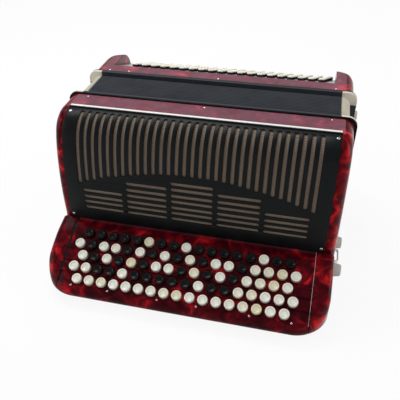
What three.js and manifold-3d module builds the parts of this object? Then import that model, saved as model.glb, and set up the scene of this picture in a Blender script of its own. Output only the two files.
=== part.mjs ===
// Chromatic button accordion, closed and lying on its back.
// Millimetres. X runs along the button rows, Y from the treble keyboard to the bass end, Z up.
import * as THREE from 'three';
import { mergeVertices } from 'three/addons/utils/BufferGeometryUtils.js';
import Module from 'manifold-3d';

const wasm = await Module();
wasm.setup();

const rad = Math.PI / 180;

// Fits shared by every piece
const seat_gap = 0.2;
const rest_gap = 0.3;
const run_gap = 0.4;
const overrun = 6;

// Keyboard: five stepped rows of round buttons, whose pitch sets the width of everything
const pitch = 18.5;
const row_counts = [17, 18, 17, 18, 17];
const row_advance_share = 0.8176;
const row_drop_share = 0.4581;
const row_shift = 1.75;
const row_crown = 1.7;
const tread_angle = 22;
const button_spacing = 3.9;
const button_sides = 8;
const button_rise = 5.5;
const button_skirt = 7;
const rail_margin = 0.4;
const button_rail_thick = 2.4;
const board_margin = 12.5;
const board_thick = 4;
const board_rear_y = 28;
const board_rear_z = 1.6;
const cap_width = 25.5;
const cap_round = 8;
const lip_radius = 11;
const lip_advance = 4;
const lip_wall = 9.5;
const lip_steps = 3;
const plan_radius = 48;
const plan_steps = 6;
const keyboard_depth_wall = 5;
const keyboard_lift = 7.5;
const floor_plate = 2.5;
const rows = row_counts.length;
const row_lead_y = pitch * row_advance_share;
const row_lead_z = pitch * row_drop_share;
const button_radius = (pitch - button_spacing) / 2;
const board_half = (Math.max(...row_counts) * pitch) / 2 + board_margin;
const lip_y = -(rows - 1) * row_lead_y - lip_advance;
const lip_wall_y = lip_y - lip_radius + lip_wall;

// Casings: y and z are measured from the tops of the first treble row
const body_half = board_half + cap_width;
const back_drop = 72;
const top_rise = 160;
const end_round = 12;
const wall = 6;
const front_wall = 4;
const wall_front_y = 28.3;
const treble_rear_y = 122;

// Curved grille: a quarter round at the shoulder, then one long easy curve
const cheek_width = 15.5;
const cheek_back_set = 4;
const cheek_rise = 1;
const grille_sheet = 1.6;
const shoulder_radius = 40;
const shoulder_y = 84;
const shoulder_end_angle = 155;
const shoulder_share = 0.4;
const grille_foot_y = 26;
const grille_foot_z = 2.2;
const upper_pull = 35;
const lower_pull = 43;
const curve_steps = 10;
const window_edge = 7;
const window_top_share = 0.035;
const window_foot_share = 0.93;
const cloth_sheet = 0.6;
const cloth_edge = 1;
const grille_half = body_half - cheek_width;
const window_half = grille_half - window_edge;
const shoulder_z = top_rise - cheek_rise - shoulder_radius;

// Grille slots and the straight louvres below them
const slot_width = 5;
const slot_count = 31;
const slot_margin = 16;
const slot_top_share = 0.055;
const slot_foot_below = 22.5;
const slot_drop_share = 0.4255;
const louvre_height = 4.8;
const louvre_clear = 3.3;
const louvre_foot_z = 26;
const louvre_rib = 6.2;
const louvre_cell_slot_count = 6;
const louvre_cell_counts = [5, 5, 5, 5, 3, 3, 1];
const slot_pitch = (2 * (window_half - slot_margin)) / (slot_count - 1);
const slot_foot_mid_z = shoulder_z - slot_foot_below;
const slot_foot_drop = (slot_foot_mid_z - louvre_foot_z) * slot_drop_share;
const louvre_rise = (slot_foot_mid_z - louvre_foot_z - louvre_clear) / louvre_cell_counts.length;

// White trim strip above the grille
const trim_width = 6.5;
const trim_height = 5;
const trim_proud = 0.8;

// Bellows and the two frames that hold it
const frame_overhang = 5;
const frame_thick = 8;
const frame_proud = 2;
const frame_radius = 14;
const frame_width = 26;
const bellows_length = 68;
const bellows_set_in = 9.5;
const bellows_recess = 4;
const bellows_radius = 12;
const bellows_width = 20;
const fold_count = 16;
const fold_depth = 3.2;
const corner_steps = 2;
const frame_half = body_half + frame_overhang;
const bellows_half = frame_half - bellows_set_in;

// Bass side
const bass_round = 35;
const bass_round_steps = 6;
const horn_length = 27;
const bass_strip = 25;
const bass_board_angle = 20;
const bass_board_thick = 3;
const bass_board_sink = 1.5;
const bass_columns = 20;
const bass_rows = 6;
const bass_upper_margin = 30.7;
const bass_lower_margin = 22.2;
const bass_first_gap = 13.5;
const bass_row_gap = 11;
const bass_last_gap = 8.12;
const bass_row_slant = 2.8;
const bass_window_edge = 1.5;
const bass_button_radius = 4.6;
const bass_button_sides = 6;
const bass_button_rise = 6.5;
const bass_button_skirt = 6;
const bass_rail_thick = 2;
const cover_thick = 3;
const cover_margin = 24.5;
const cover_edge = 14;
const cover_top_drop = 64;
const cover_screw_round = 10;
const cover_slot_width = 6;
const cover_slot_columns = 12;
const cover_slot_edge = 10;
const cover_slot_margin = 48;
const cover_slot_clear = 9;
const board_slope = bass_board_angle * rad;
const board_run = bass_first_gap + (bass_rows - 1) * bass_row_gap + bass_last_gap;
const bass_depth = bass_strip + board_run * Math.cos(board_slope);
const cover_half = body_half - cover_margin;
const cover_low_z = cover_edge - back_drop;
const cover_high_z = top_rise - cover_top_drop;

// Hand strap across the bass end
const strap_margin = 18;
const strap_width = 68;
const strap_thick = 4;
const strap_bulge = 36;
const strap_lift = 9;
const strap_steps = 14;
const strap_end_flat = 14;
const strap_clip_length = 16;
const strap_clip_thick = 2;
const strap_bow_share = 0.8;
const strap_half = cover_half - strap_margin;
const strap_mid_z = (cover_low_z + cover_high_z) / 2 + strap_lift;

// Strap adjuster wheel and air valve button
const wheel_radius = 13;
const wheel_thick = 6;
const wheel_groove = 0.6;
const wheel_hub_radius = 5;
const wheel_hub_length = 4;
const wheel_inset_y = 24;
const wheel_rib_count = 20;
const air_radius = 6;
const air_rise = 7;
const air_skirt = 5;
const air_edge = 14;

// Feet on the lower end and loops for the shoulder straps
const foot_radius = 11;
const foot_top_radius = 8;
const foot_height = 13.5;
const foot_sides = 12;
const foot_edge = 27;
const foot_front_inset = 17;
const foot_rear_inset = 16.7;
const bracket_width = 30;
const bracket_height = 20;
const bracket_reach = 13.5;
const bracket_plate = 2.5;
const bracket_slot_wide = 22;
const bracket_slot_deep = 6;
const bracket_lift = 26;
const bracket_front_inset = 21.7;
const bracket_rear_inset = 18;
const hook_reach = 10;
const bracket_z = bracket_lift - back_drop;

// Sound pieces inside
const pallet_board_thick = 5;
const pallet_board_lift = 8;
const reed_block_width = 24;
const reed_block_height = 42;
const reed_block_margin = 50;
const reed_block_pitch = 44;
const treble_blocks_count = 3;
const bass_blocks_count = 2;
const axle_radius = 2;
const axle_sides = 8;
const axle_inset = 31.7;
const axle_lift = 42;

const quarter_turn = 90;
const shoulder_end = new THREE.Vector2(
  shoulder_y + shoulder_radius * Math.cos(shoulder_end_angle * rad),
  shoulder_z + shoulder_radius * Math.sin(shoulder_end_angle * rad),
);
const upper_handle = new THREE.Vector2(
  shoulder_end.x - upper_pull * Math.sin(shoulder_end_angle * rad),
  shoulder_end.y + upper_pull * Math.cos(shoulder_end_angle * rad),
);
const foot_point = new THREE.Vector2(grille_foot_y, grille_foot_z);
const lower_handle = new THREE.Vector2(grille_foot_y, grille_foot_z + lower_pull);
const long_curve = new THREE.CubicBezierCurve(shoulder_end, upper_handle, lower_handle, foot_point);

const bellows_front_y = treble_rear_y + frame_thick;
const bellows_rear_y = bellows_front_y + bellows_length;
const bass_front_y = bellows_rear_y + frame_thick;
const bass_rear_y = bass_front_y + bass_depth;
const overall_rear_y = bass_rear_y + strap_bulge;
const overall_front_y = lip_y - lip_radius;

// Colours
const pearl_red = { color: 0x7d1626, roughness: 0.25, metalness: 0.1 };
const gloss_black = { color: 0x121214, roughness: 0.2, metalness: 0.0 };
const satin_black = { color: 0x1b1c20, roughness: 0.5, metalness: 0.0 };
const bellows_cloth = { color: 0x3a3f47, roughness: 0.8, metalness: 0.0 };
const ivory = { color: 0xe9e6d2, roughness: 0.25, metalness: 0.0 };
const tan_cloth = { color: 0x7a6552, roughness: 0.9, metalness: 0.0 };
const white_trim = { color: 0xf2f2ee, roughness: 0.3, metalness: 0.0 };
const leather = { color: 0x17130f, roughness: 0.6, metalness: 0.0 };
const bright_metal = { color: 0xc9cacc, roughness: 0.25, metalness: 1.0 };
const grey_board = { color: 0x8f9296, roughness: 0.4, metalness: 0.1 };
const bare_wood = { color: 0xb58b5a, roughness: 0.7, metalness: 0.0 };
const foot_rubber = { color: 0x202020, roughness: 0.8, metalness: 0.0 };

// Solids: three.js shapes go into the boolean library and come back as meshes
function solid(geometry) {
  const bare = geometry.clone();
  bare.deleteAttribute('normal');
  bare.deleteAttribute('uv');
  const merged = mergeVertices(bare, seat_gap / 1000);
  const vertProperties = new Float32Array(merged.attributes.position.array);
  const triVerts = new Uint32Array(merged.index.array);
  return new wasm.Manifold(new wasm.Mesh({ numProp: 3, vertProperties, triVerts }));
}

function extrude(points, length, basis, origin, options = {}) {
  const shape = new THREE.Shape(points.map(([u, v]) => new THREE.Vector2(u, v)));
  const settings = { depth: length, bevelEnabled: false, ...options };
  const geometry = new THREE.ExtrudeGeometry(shape, settings);
  geometry.applyMatrix4(new THREE.Matrix4().makeBasis(...basis).setPosition(...origin));
  return solid(geometry);
}

const unit_x = new THREE.Vector3(1, 0, 0);
const unit_y = new THREE.Vector3(0, 1, 0);
const unit_z = new THREE.Vector3(0, 0, 1);

// A (y, z) outline carried along X from x0 to x1
function along_x(points, x0, x1) {
  return extrude(points, x1 - x0, [unit_y, unit_z, unit_x], [x0, 0, 0]);
}

// The same between -half and half with its two ends rounded over
function along_x_rounded(points, half, radius) {
  return extrude(points, 2 * (half - radius), [unit_y, unit_z, unit_x], [radius - half, 0, 0], {
    bevelEnabled: true,
    bevelThickness: radius,
    bevelSize: radius,
    bevelOffset: -radius,
    bevelSegments: 3,
  });
}

// An (x, z) outline carried along Y from y0 to y1
function along_y(points, y0, y1) {
  const flipped = points.map(([x, z]) => [-x, z]);
  return extrude(flipped, y1 - y0, [unit_x.clone().negate(), unit_z, unit_y], [0, y0, 0]);
}

// An (x, y) outline carried along Z from z0 to z1
function along_z(points, z0, z1) {
  return extrude(points, z1 - z0, [unit_x, unit_y, unit_z], [0, 0, z0]);
}

function box(x0, x1, y0, y1, z0, z1) {
  const geometry = new THREE.BoxGeometry(x1 - x0, y1 - y0, z1 - z0);
  geometry.translate((x0 + x1) / 2, (y0 + y1) / 2, (z0 + z1) / 2);
  return solid(geometry);
}

function union(solids) {
  return solids.reduce((sum, next) => sum.add(next));
}

// A rectangle with rounded corners, as points, anticlockwise
function round_rectangle(x0, x1, z0, z1, radius, steps) {
  const corners = [[x1, z1, 0], [x0, z1, 1], [x0, z0, 2], [x1, z0, 3]];
  const points = [];
  for (const [x, z, quarter] of corners) {
    const cx = x === x1 ? x - radius : x + radius;
    const cz = z === z1 ? z - radius : z + radius;
    for (let i = 0; i <= steps; i += 1) {
      const angle = (quarter + i / steps) * quarter_turn * rad;
      points.push([cx + radius * Math.cos(angle), cz + radius * Math.sin(angle)]);
    }
  }
  return points;
}

function arc(cy, cz, radius, from, to, steps) {
  const points = [];
  for (let i = 0; i <= steps; i += 1) {
    const angle = (from + ((to - from) * i) / steps) * rad;
    points.push([cy + radius * Math.cos(angle), cz + radius * Math.sin(angle)]);
  }
  return points;
}

// One point of the grille's outer surface, share 0 at its top edge and 1 at its foot, set inwards
function front_point(share, inset) {
  if (share <= shoulder_share) {
    const turned = ((shoulder_end_angle - quarter_turn) * share) / shoulder_share;
    const angle = (quarter_turn + turned) * rad;
    const radius = shoulder_radius - inset;
    return [shoulder_y + radius * Math.cos(angle), shoulder_z + radius * Math.sin(angle)];
  }
  const t = (share - shoulder_share) / (1 - shoulder_share);
  const at = long_curve.getPoint(t);
  const along = long_curve.getTangent(t);
  return [at.x - along.y * inset, at.y + along.x * inset];
}

function front_curve(inset, from = 0, to = 1, steps = curve_steps) {
  const points = [];
  for (let i = 0; i <= steps; i += 1) {
    points.push(front_point(from + ((to - from) * i) / steps, inset));
  }
  return points;
}

// The closed strip between two insets of the same curve
function front_band(outer, inner, from, to, steps) {
  return [...front_curve(outer, from, to, steps), ...front_curve(inner, from, to, steps).reverse()];
}

// The share of the curve whose height is z
function share_at(z) {
  let low = 0;
  let high = 1;
  for (let i = 0; i < 40; i += 1) {
    const middle = (low + high) / 2;
    if (front_point(middle, 0)[1] > z) low = middle;
    else high = middle;
  }
  return low;
}

const instrument = new THREE.Group();
instrument.position.set(0, -(overall_front_y + overall_rear_y) / 2, back_drop);

function add(name, shape, look, place = null) {
  const { vertProperties, triVerts } = shape.getMesh();
  const geometry = new THREE.BufferGeometry();
  geometry.setAttribute('position', new THREE.BufferAttribute(vertProperties, 3));
  geometry.setIndex(new THREE.BufferAttribute(triVerts, 1));
  geometry.computeVertexNormals();
  const mesh = new THREE.Mesh(geometry, new THREE.MeshStandardMaterial(look));
  mesh.name = name;
  if (place) mesh.applyMatrix4(place);
  instrument.add(mesh);
}

// Treble casing: rounded cheeks, a seat for the grille between them, hollow and open to the bellows
const grille_seat = grille_sheet + rest_gap;
const trim_front_y = shoulder_y;
const trim_rear_y = trim_front_y + trim_width;
const trim_top_z = top_rise + trim_proud;
const trim_floor_z = trim_top_z - trim_height;

function treble_casing() {
  const rear = treble_rear_y + end_round + overrun;
  const cheek = front_curve(0).map(([y, z]) => [y + cheek_back_set, z + cheek_rise]);
  const cheek_outline = [[rear, top_rise], ...cheek, [wall_front_y, cheek.at(-1)[1] - cheek_back_set],
    [wall_front_y, -back_drop], [rear, -back_drop]];
  const cheeks = along_x_rounded(cheek_outline, body_half, end_round);
  const recess_half = grille_half + rest_gap;
  const recess_rear = trim_rear_y + rest_gap;
  const recess_low = grille_foot_z - rest_gap;
  const recess = box(-recess_half, recess_half, -overrun, recess_rear, recess_low, top_rise + overrun);
  const seat_outline = [[recess_rear, trim_floor_z - rest_gap], [shoulder_y, trim_floor_z - rest_gap],
    ...front_curve(grille_seat), [wall_front_y, recess_low], [wall_front_y + front_wall, recess_low],
    [recess_rear, trim_floor_z - wall]];
  const seat = along_x(seat_outline, -recess_half, recess_half);
  const cavity_half = body_half - wall;
  const cavity_outline = [[rear + overrun, top_rise - wall], [trim_rear_y + wall, top_rise - wall],
    [trim_rear_y, trim_floor_z - wall], ...front_curve(grille_seat + front_wall, window_top_share),
    [wall_front_y + front_wall, grille_foot_z], [wall_front_y + front_wall, wall - back_drop],
    [rear + overrun, wall - back_drop]];
  const cavity = along_x(cavity_outline, -cavity_half, cavity_half);
  const window_deep = grille_seat + front_wall + overrun;
  const window = along_x(front_band(-overrun, window_deep, window_top_share, window_foot_share, curve_steps),
    -window_half, window_half);
  const lever_gap = box(-board_half + wall, board_half - wall, 0, wall_front_y + front_wall + overrun,
    2 * wall - back_drop, -2 * wall);
  const reach = 2 * frame_half;
  const limit = box(-reach, reach, -reach, treble_rear_y, -reach, reach);
  const shell = cheeks.subtract(recess).add(seat).subtract(cavity);
  return shell.subtract(window).subtract(lever_gap).intersect(limit);
}
add('treble_casing', treble_casing(), pearl_red);

// Grille: one bent sheet with upright slots that end on an arch, and straight louvres below
function treble_grille() {
  const sheet = along_x(front_band(0, grille_sheet, 0, 1, curve_steps), -grille_half, grille_half);
  const cuts = [];
  const last = (slot_count - 1) / 2;
  for (let i = -last; i <= last; i += 1) {
    const x = i * slot_pitch;
    const foot_z = slot_foot_mid_z - slot_foot_drop * (i / last) ** 2;
    const band = front_band(-grille_sheet, 2 * grille_sheet, slot_top_share, share_at(foot_z), curve_steps);
    cuts.push(along_x(band, x - slot_width / 2, x + slot_width / 2));
  }
  const cell = louvre_cell_slot_count * slot_pitch;
  louvre_cell_counts.forEach((cells, row) => {
    const z = louvre_foot_z + row * louvre_rise;
    for (let i = 0; i < cells; i += 1) {
      const x = (i - (cells - 1) / 2) * cell;
      const reach = (cell - louvre_rib) / 2;
      cuts.push(box(x - reach, x + reach, 0, shoulder_y, z - louvre_height / 2, z + louvre_height / 2));
    }
  });
  return sheet.subtract(union(cuts));
}
add('treble_grille', treble_grille(), gloss_black);

// Cloth behind the grille, inside the casing's window
function grille_cloth() {
  const band = front_band(grille_seat, grille_seat + cloth_sheet, 0, 1, curve_steps);
  const sheet = along_x(band, -window_half + rest_gap, window_half - rest_gap);
  const top = front_point(window_top_share, grille_seat);
  const foot = front_point(window_foot_share, grille_seat);
  const rear = top[0] - cloth_edge;
  return sheet.intersect(box(-window_half, window_half, 0, rear, foot[1] + cloth_edge, 2 * top_rise));
}
add('grille_cloth', grille_cloth(), tan_cloth);

const trim = box(-grille_half, grille_half, trim_front_y + rest_gap, trim_rear_y, trim_floor_z, trim_top_z);
const trim_relief = box(-grille_half, grille_half, 0, trim_front_y + rest_gap, 0, top_rise * 2);
add('grille_trim_strip', trim.subtract(trim_relief), white_trim);

// Keyboard wedge: its side outline from the casing down over the steps to the rounded front lip
const tread = tread_angle * rad;
const tread_normal = [-Math.sin(tread), Math.cos(tread)];
const chord_angle = Math.atan2(row_lead_z, row_lead_y);
const chord_normal = [-Math.sin(chord_angle), Math.cos(chord_angle)];
const tread_reach = Math.hypot(row_lead_y, row_lead_z) / 2;

// Centre of a row's button tops, bowed a little above the straight line from first row to last
function row_top(row) {
  const middle = (rows - 1) / 2;
  const bow = row_crown * (1 - ((row - middle) / middle) ** 2);
  return [bow * chord_normal[0] - row * row_lead_y, bow * chord_normal[1] - row * row_lead_z];
}

function row_point(row, along, up) {
  const [y, z] = row_top(row);
  const [away_y, away_z] = tread_normal;
  return [y + along * Math.cos(tread) + up * away_y, z + along * Math.sin(tread) + up * away_z];
}

const keyboard_low_z = keyboard_lift - back_drop;
const lip_z = keyboard_low_z + lip_radius;
const lip_arc = [
  ...arc(lip_y, lip_z, lip_radius, quarter_turn + chord_angle / rad, 2 * quarter_turn, lip_steps),
  ...arc(lip_y, lip_z, lip_radius, 2 * quarter_turn, 3 * quarter_turn, lip_steps).slice(1),
];

function stepped_outline() {
  const points = [[board_rear_y, keyboard_low_z], [board_rear_y, board_rear_z]];
  for (let row = 0; row < rows; row += 1) {
    points.push(row_point(row, tread_reach, -button_rise));
    points.push(row_point(row, -tread_reach, -button_rise));
  }
  return [...points, ...lip_arc];
}

function smooth_outline() {
  const points = [[board_rear_y, keyboard_low_z], [board_rear_y, board_rear_z]];
  for (let row = 0; row < rows; row += 1) {
    points.push(row_point(row, 0, -button_rise));
  }
  return [...points, ...lip_arc];
}

// Plan of the keyboard with its two large front corners
function keyboard_plan() {
  const front = lip_y - lip_radius;
  const points = [[body_half, board_rear_y + overrun], [-body_half, board_rear_y + overrun]];
  const corner = body_half - plan_radius;
  const middle = front + plan_radius;
  points.push(...arc(-corner, middle, plan_radius, 2 * quarter_turn, 3 * quarter_turn, plan_steps));
  points.push(...arc(corner, middle, plan_radius, 3 * quarter_turn, 4 * quarter_turn, plan_steps));
  return along_z(points, -back_drop - overrun, top_rise);
}

// The board itself is built level with its treads and then tipped to their angle
const tread_frame = new THREE.Matrix4().makeRotationX(tread);
function level(points) {
  return points.map(([y, z]) => [
    y * Math.cos(tread) + z * Math.sin(tread),
    z * Math.cos(tread) - y * Math.sin(tread),
  ]);
}

// Under the stepped board the keyboard is hollow, open to the casing and to the floor plate
function keyboard_cavity(half) {
  const under = [];
  for (let row = 0; row < rows; row += 1) {
    under.push(row_point(row, tread_reach, -button_rise - board_thick));
    under.push(row_point(row, -tread_reach, -button_rise - board_thick));
  }
  const low_z = keyboard_low_z - overrun;
  const outline = [[board_rear_y + overrun, under[0][1]], ...under,
    [lip_wall_y, under.at(-1)[1] - board_thick], [lip_wall_y, low_z], [board_rear_y + overrun, low_z]];
  return along_x(level(outline), -half, half);
}

// Five rows of round holes, and the buttons that stand in them
function row_matrix(row, x = 0) {
  const [y, z] = row_top(row);
  const turn = new THREE.Matrix4().makeRotationX(tread);
  return turn.setPosition(x, y, z);
}

function round_bar(radius, sides, z0, z1) {
  const geometry = new THREE.CylinderGeometry(radius, radius, z1 - z0, sides);
  geometry.rotateX(Math.PI / 2);
  geometry.translate(0, 0, (z0 + z1) / 2);
  return geometry;
}

function button_x(row, i) {
  return (i - (row_counts[row] - 1) / 2) * pitch - row_shift;
}

function keyboard_holes() {
  const holes = [];
  for (let row = 0; row < rows; row += 1) {
    const radius = button_radius + run_gap;
    const hole_low = -button_rise - board_thick - overrun;
    for (let i = 0; i < row_counts[row]; i += 1) {
      const hole = round_bar(radius, button_sides, hole_low, -button_rise + overrun);
      const [y, z] = level([row_top(row)])[0];
      hole.translate(button_x(row, i), y, z);
      holes.push(solid(hole));
    }
  }
  return union(holes);
}

function keyboard_block(outline) {
  return along_x_rounded(outline, body_half, cap_round).intersect(keyboard_plan());
}

const fingerboard = along_x(level(stepped_outline()), -board_half, board_half)
  .intersect(keyboard_plan().rotate([-tread_angle, 0, 0]))
  .subtract(keyboard_cavity(board_half - keyboard_depth_wall))
  .subtract(keyboard_holes());
add('fingerboard', fingerboard, pearl_red, tread_frame);

const cap_block = keyboard_block(smooth_outline());
const cap_inner = board_half + rest_gap;
const reach_all = 2 * body_half;
const left_half = box(-reach_all, -cap_inner, -reach_all, reach_all, -reach_all, reach_all);
const right_half = box(cap_inner, reach_all, -reach_all, reach_all, -reach_all, reach_all);
add('fingerboard_end_cap_left', cap_block.intersect(left_half), pearl_red);
add('fingerboard_end_cap_right', cap_block.intersect(right_half), pearl_red);

const plate_half = board_half - keyboard_depth_wall - rest_gap;
add('fingerboard_floor', box(-plate_half, plate_half, lip_wall_y + rest_gap, board_rear_y,
  keyboard_low_z, keyboard_low_z + floor_plate), satin_black);

// Each row of buttons shares one rail under the board and slides along the button axis
const rail_top = -button_rise - button_skirt;
for (let row = 0; row < rows; row += 1) {
  const count = row_counts[row];
  const buttons = [];
  for (let i = 0; i < count; i += 1) {
    const button = round_bar(button_radius, button_sides, rail_top, 0);
    button.translate(button_x(row, i), 0, 0);
    buttons.push(solid(button));
  }
  const half = button_radius + rail_margin;
  const rail = box(button_x(row, 0) - half, button_x(row, count - 1) + half, -half, half,
    rail_top - button_rail_thick, rail_top + seat_gap);
  add(`treble_button_row_${row + 1}`, union([...buttons, rail]), ivory, row_matrix(row));
}

// Bellows frames: flat rings that stand a little proud of the casings
function ring(half, top, radius, width, y0, y1) {
  const outer = along_y(round_rectangle(-half, half, -back_drop, top, radius, corner_steps), y0, y1);
  const reach = half - width;
  const inner = round_rectangle(-reach, reach, width - back_drop, top - width, radius, corner_steps);
  return outer.subtract(along_y(inner, y0 - overrun, y1 + overrun));
}
const frame_top = top_rise + frame_proud;
add('treble_bellows_frame', ring(frame_half, frame_top, frame_radius, frame_width,
  treble_rear_y + seat_gap, bellows_front_y), gloss_black);
add('bass_bellows_frame', ring(frame_half, frame_top, frame_radius, frame_width,
  bellows_rear_y, bass_front_y - seat_gap), gloss_black);

// Bellows: folded cloth, its ridges and valleys alternating along Y, around a plain bore
function bellows() {
  const y0 = bellows_front_y + seat_gap;
  const step = (bellows_length - 2 * seat_gap) / (2 * fold_count);
  const sections = 2 * fold_count + 1;
  const positions = [];
  const count = 4 * (corner_steps + 1);
  for (let s = 0; s < sections; s += 1) {
    const inset = s % 2 === 0 ? fold_depth : 0;
    const points = round_rectangle(-bellows_half + inset, bellows_half - inset,
      bellows_recess - back_drop + inset, top_rise - bellows_recess - inset, bellows_radius, corner_steps);
    points.forEach(([x, z]) => positions.push(x, y0 + s * step, z));
  }
  const index = [];
  for (let s = 0; s + 1 < sections; s += 1) {
    for (let i = 0; i < count; i += 1) {
      const a = s * count + i;
      const b = s * count + ((i + 1) % count);
      index.push(a, a + count, b, b, a + count, b + count);
    }
  }
  for (let i = 1; i + 1 < count; i += 1) {
    const last = (sections - 1) * count;
    index.push(0, i, i + 1);
    index.push(last, last + i + 1, last + i);
  }
  const geometry = new THREE.BufferGeometry();
  geometry.setAttribute('position', new THREE.Float32BufferAttribute(positions, 3));
  geometry.setIndex(index);
  const width = bellows_width;
  const rim = bellows_recess + width;
  const bore = round_rectangle(width - bellows_half, bellows_half - width, rim - back_drop, top_rise - rim,
    bellows_radius, corner_steps);
  const outer = new wasm.Manifold(new wasm.Mesh({
    numProp: 3,
    vertProperties: new Float32Array(positions),
    triVerts: new Uint32Array(index),
  }));
  return outer.subtract(along_y(bore, bellows_front_y - overrun, bellows_rear_y + overrun));
}
add('bellows', bellows(), bellows_cloth);

// Bass casing: square to the bellows, rounded over towards the bass end, with two horns at its ends
const bass_round_y = bass_rear_y - bass_round;
const bass_round_z = top_rise - bass_round;
const horn_inner = body_half - horn_length;
const bass_board_y = bass_front_y + bass_strip;

// A point on the bass board's upper face, at a distance down its slope
function board_point(along, up) {
  return [bass_board_y + along * Math.cos(board_slope) + up * Math.sin(board_slope),
    top_rise - bass_board_sink - along * Math.sin(board_slope) + up * Math.cos(board_slope)];
}
const bass_pitch = (2 * horn_inner - bass_upper_margin - bass_lower_margin) / (bass_columns - 1);
const board_sink = rest_gap + bass_board_thick;
const bass_cavity_top = board_point(board_run, -board_sink)[1] - wall;

function bass_casing() {
  const front = bass_front_y - end_round - overrun;
  const outline = [[front, -back_drop], [bass_rear_y, -back_drop],
    ...arc(bass_round_y, bass_round_z, bass_round, 0, quarter_turn, bass_round_steps), [front, top_rise]];
  const block = along_x_rounded(outline, body_half, end_round);
  const limit = box(-frame_half, frame_half, bass_front_y, reach_all * 2, -reach_all, reach_all);
  const notch_end = board_run + overrun;
  const notch = [[bass_board_y, top_rise + overrun], board_point(0, 0), board_point(0, -board_sink),
    board_point(notch_end, -board_sink), [board_point(notch_end, 0)[0], top_rise + overrun]];
  const board_notch = along_x(notch, -horn_inner, horn_inner);
  const inner_half = body_half - wall;
  const back = bass_rear_y - cover_thick - wall;
  const cavity = box(-inner_half, inner_half, front - overrun, back, wall - back_drop, bass_cavity_top);
  const upper = [[front - overrun, bass_cavity_top - overrun], [back, bass_cavity_top - overrun],
    [back, bass_cavity_top], [bass_board_y - wall, top_rise - wall], [front - overrun, top_rise - wall]];
  const upper_cavity = along_x(upper, wall - horn_inner, horn_inner - wall);
  const open_from = bass_first_gap - bass_row_gap;
  const open_to = board_run - bass_window_edge;
  const open = [board_point(open_from, overrun), board_point(open_to, overrun),
    board_point(open_to, -4 * overrun), board_point(open_from, -4 * overrun)];
  const board_window = along_x(open, -horn_inner + wall / 2, horn_inner - wall / 2);
  const cover_seat = box(-cover_half - rest_gap, cover_half + rest_gap, bass_rear_y - cover_thick - seat_gap,
    reach_all * 2, cover_low_z - rest_gap, cover_high_z + rest_gap);
  return block.intersect(limit).subtract(board_notch).subtract(cavity).subtract(upper_cavity)
    .subtract(board_window).subtract(cover_seat).subtract(air_hole()).subtract(cover_window())
    .subtract(wheel_bore());
}

// A round rod along X
function rod_x(radius, x0, x1, y, z, sides) {
  const geometry = new THREE.CylinderGeometry(radius, radius, x1 - x0, sides);
  geometry.rotateZ(Math.PI / 2);
  geometry.translate((x0 + x1) / 2, y, z);
  return solid(geometry);
}

// The strap adjuster's hub runs in a bore through the upper end wall
const wheel_y = bass_rear_y - wheel_inset_y;
function wheel_bore() {
  const inner = wall + overrun - body_half;
  return rod_x(wheel_hub_radius + run_gap, -body_half - overrun, inner, wheel_y, strap_mid_z, foot_sides);
}

// Air valve button: pressed with the thumb near the upper end of the strap
const air_x = -body_half + end_round + air_edge;
const air_z = cover_high_z - air_edge;
function air_hole() {
  const radius = air_radius + run_gap;
  const hole = new THREE.CylinderGeometry(radius, radius, 4 * overrun, foot_sides);
  hole.translate(air_x, bass_rear_y - cover_thick, air_z);
  return solid(hole);
}

// The opening in the casing's end wall behind the cover
function cover_window() {
  return box(wall - cover_half, cover_half - wall, bass_rear_y - 3 * wall, bass_rear_y + overrun,
    cover_low_z + wall, cover_high_z - wall);
}
add('bass_casing', bass_casing(), pearl_red);

// Bass board with its slanted field of small holes
function bass_matrix(row, x = 0) {
  const [y, z] = board_point(bass_first_gap + row * bass_row_gap, 0);
  return new THREE.Matrix4().makeRotationX(-board_slope).setPosition(x, y, z);
}

function bass_x(row, column) {
  return bass_upper_margin - horn_inner + column * bass_pitch + row * bass_row_slant;
}

function bass_board() {
  const edge = horn_inner - rest_gap;
  const first = bass_first_gap;
  const sheet = box(-edge, edge, rest_gap - first, board_run - rest_gap - first, -bass_board_thick, 0);
  const holes = [];
  for (let row = 0; row < bass_rows; row += 1) {
    for (let column = 0; column < bass_columns; column += 1) {
      const hole = round_bar(bass_button_radius + run_gap, bass_button_sides, -overrun, overrun);
      hole.translate(bass_x(row, column), row * bass_row_gap, 0);
      holes.push(solid(hole));
    }
  }
  return sheet.subtract(union(holes));
}
add('bass_button_board', bass_board(), grey_board, bass_matrix(0));

for (let row = 0; row < bass_rows; row += 1) {
  const buttons = [];
  const rail_z = -bass_button_skirt - bass_board_thick;
  for (let column = 0; column < bass_columns; column += 1) {
    const button = round_bar(bass_button_radius, bass_button_sides, rail_z, bass_button_rise);
    button.translate(bass_x(row, column), 0, 0);
    buttons.push(solid(button));
  }
  const half = bass_button_radius + rail_margin;
  const rail = box(bass_x(row, 0) - half, bass_x(row, bass_columns - 1) + half, -half, half,
    rail_z - bass_rail_thick, rail_z + seat_gap);
  add(`bass_button_row_${row + 1}`, union([...buttons, rail]), ivory, bass_matrix(row));
}

const cover_points = round_rectangle(-cover_half, cover_half, cover_low_z, cover_high_z,
  cover_screw_round, corner_steps);
const cover = along_y(cover_points, bass_rear_y - cover_thick, bass_rear_y);

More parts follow.
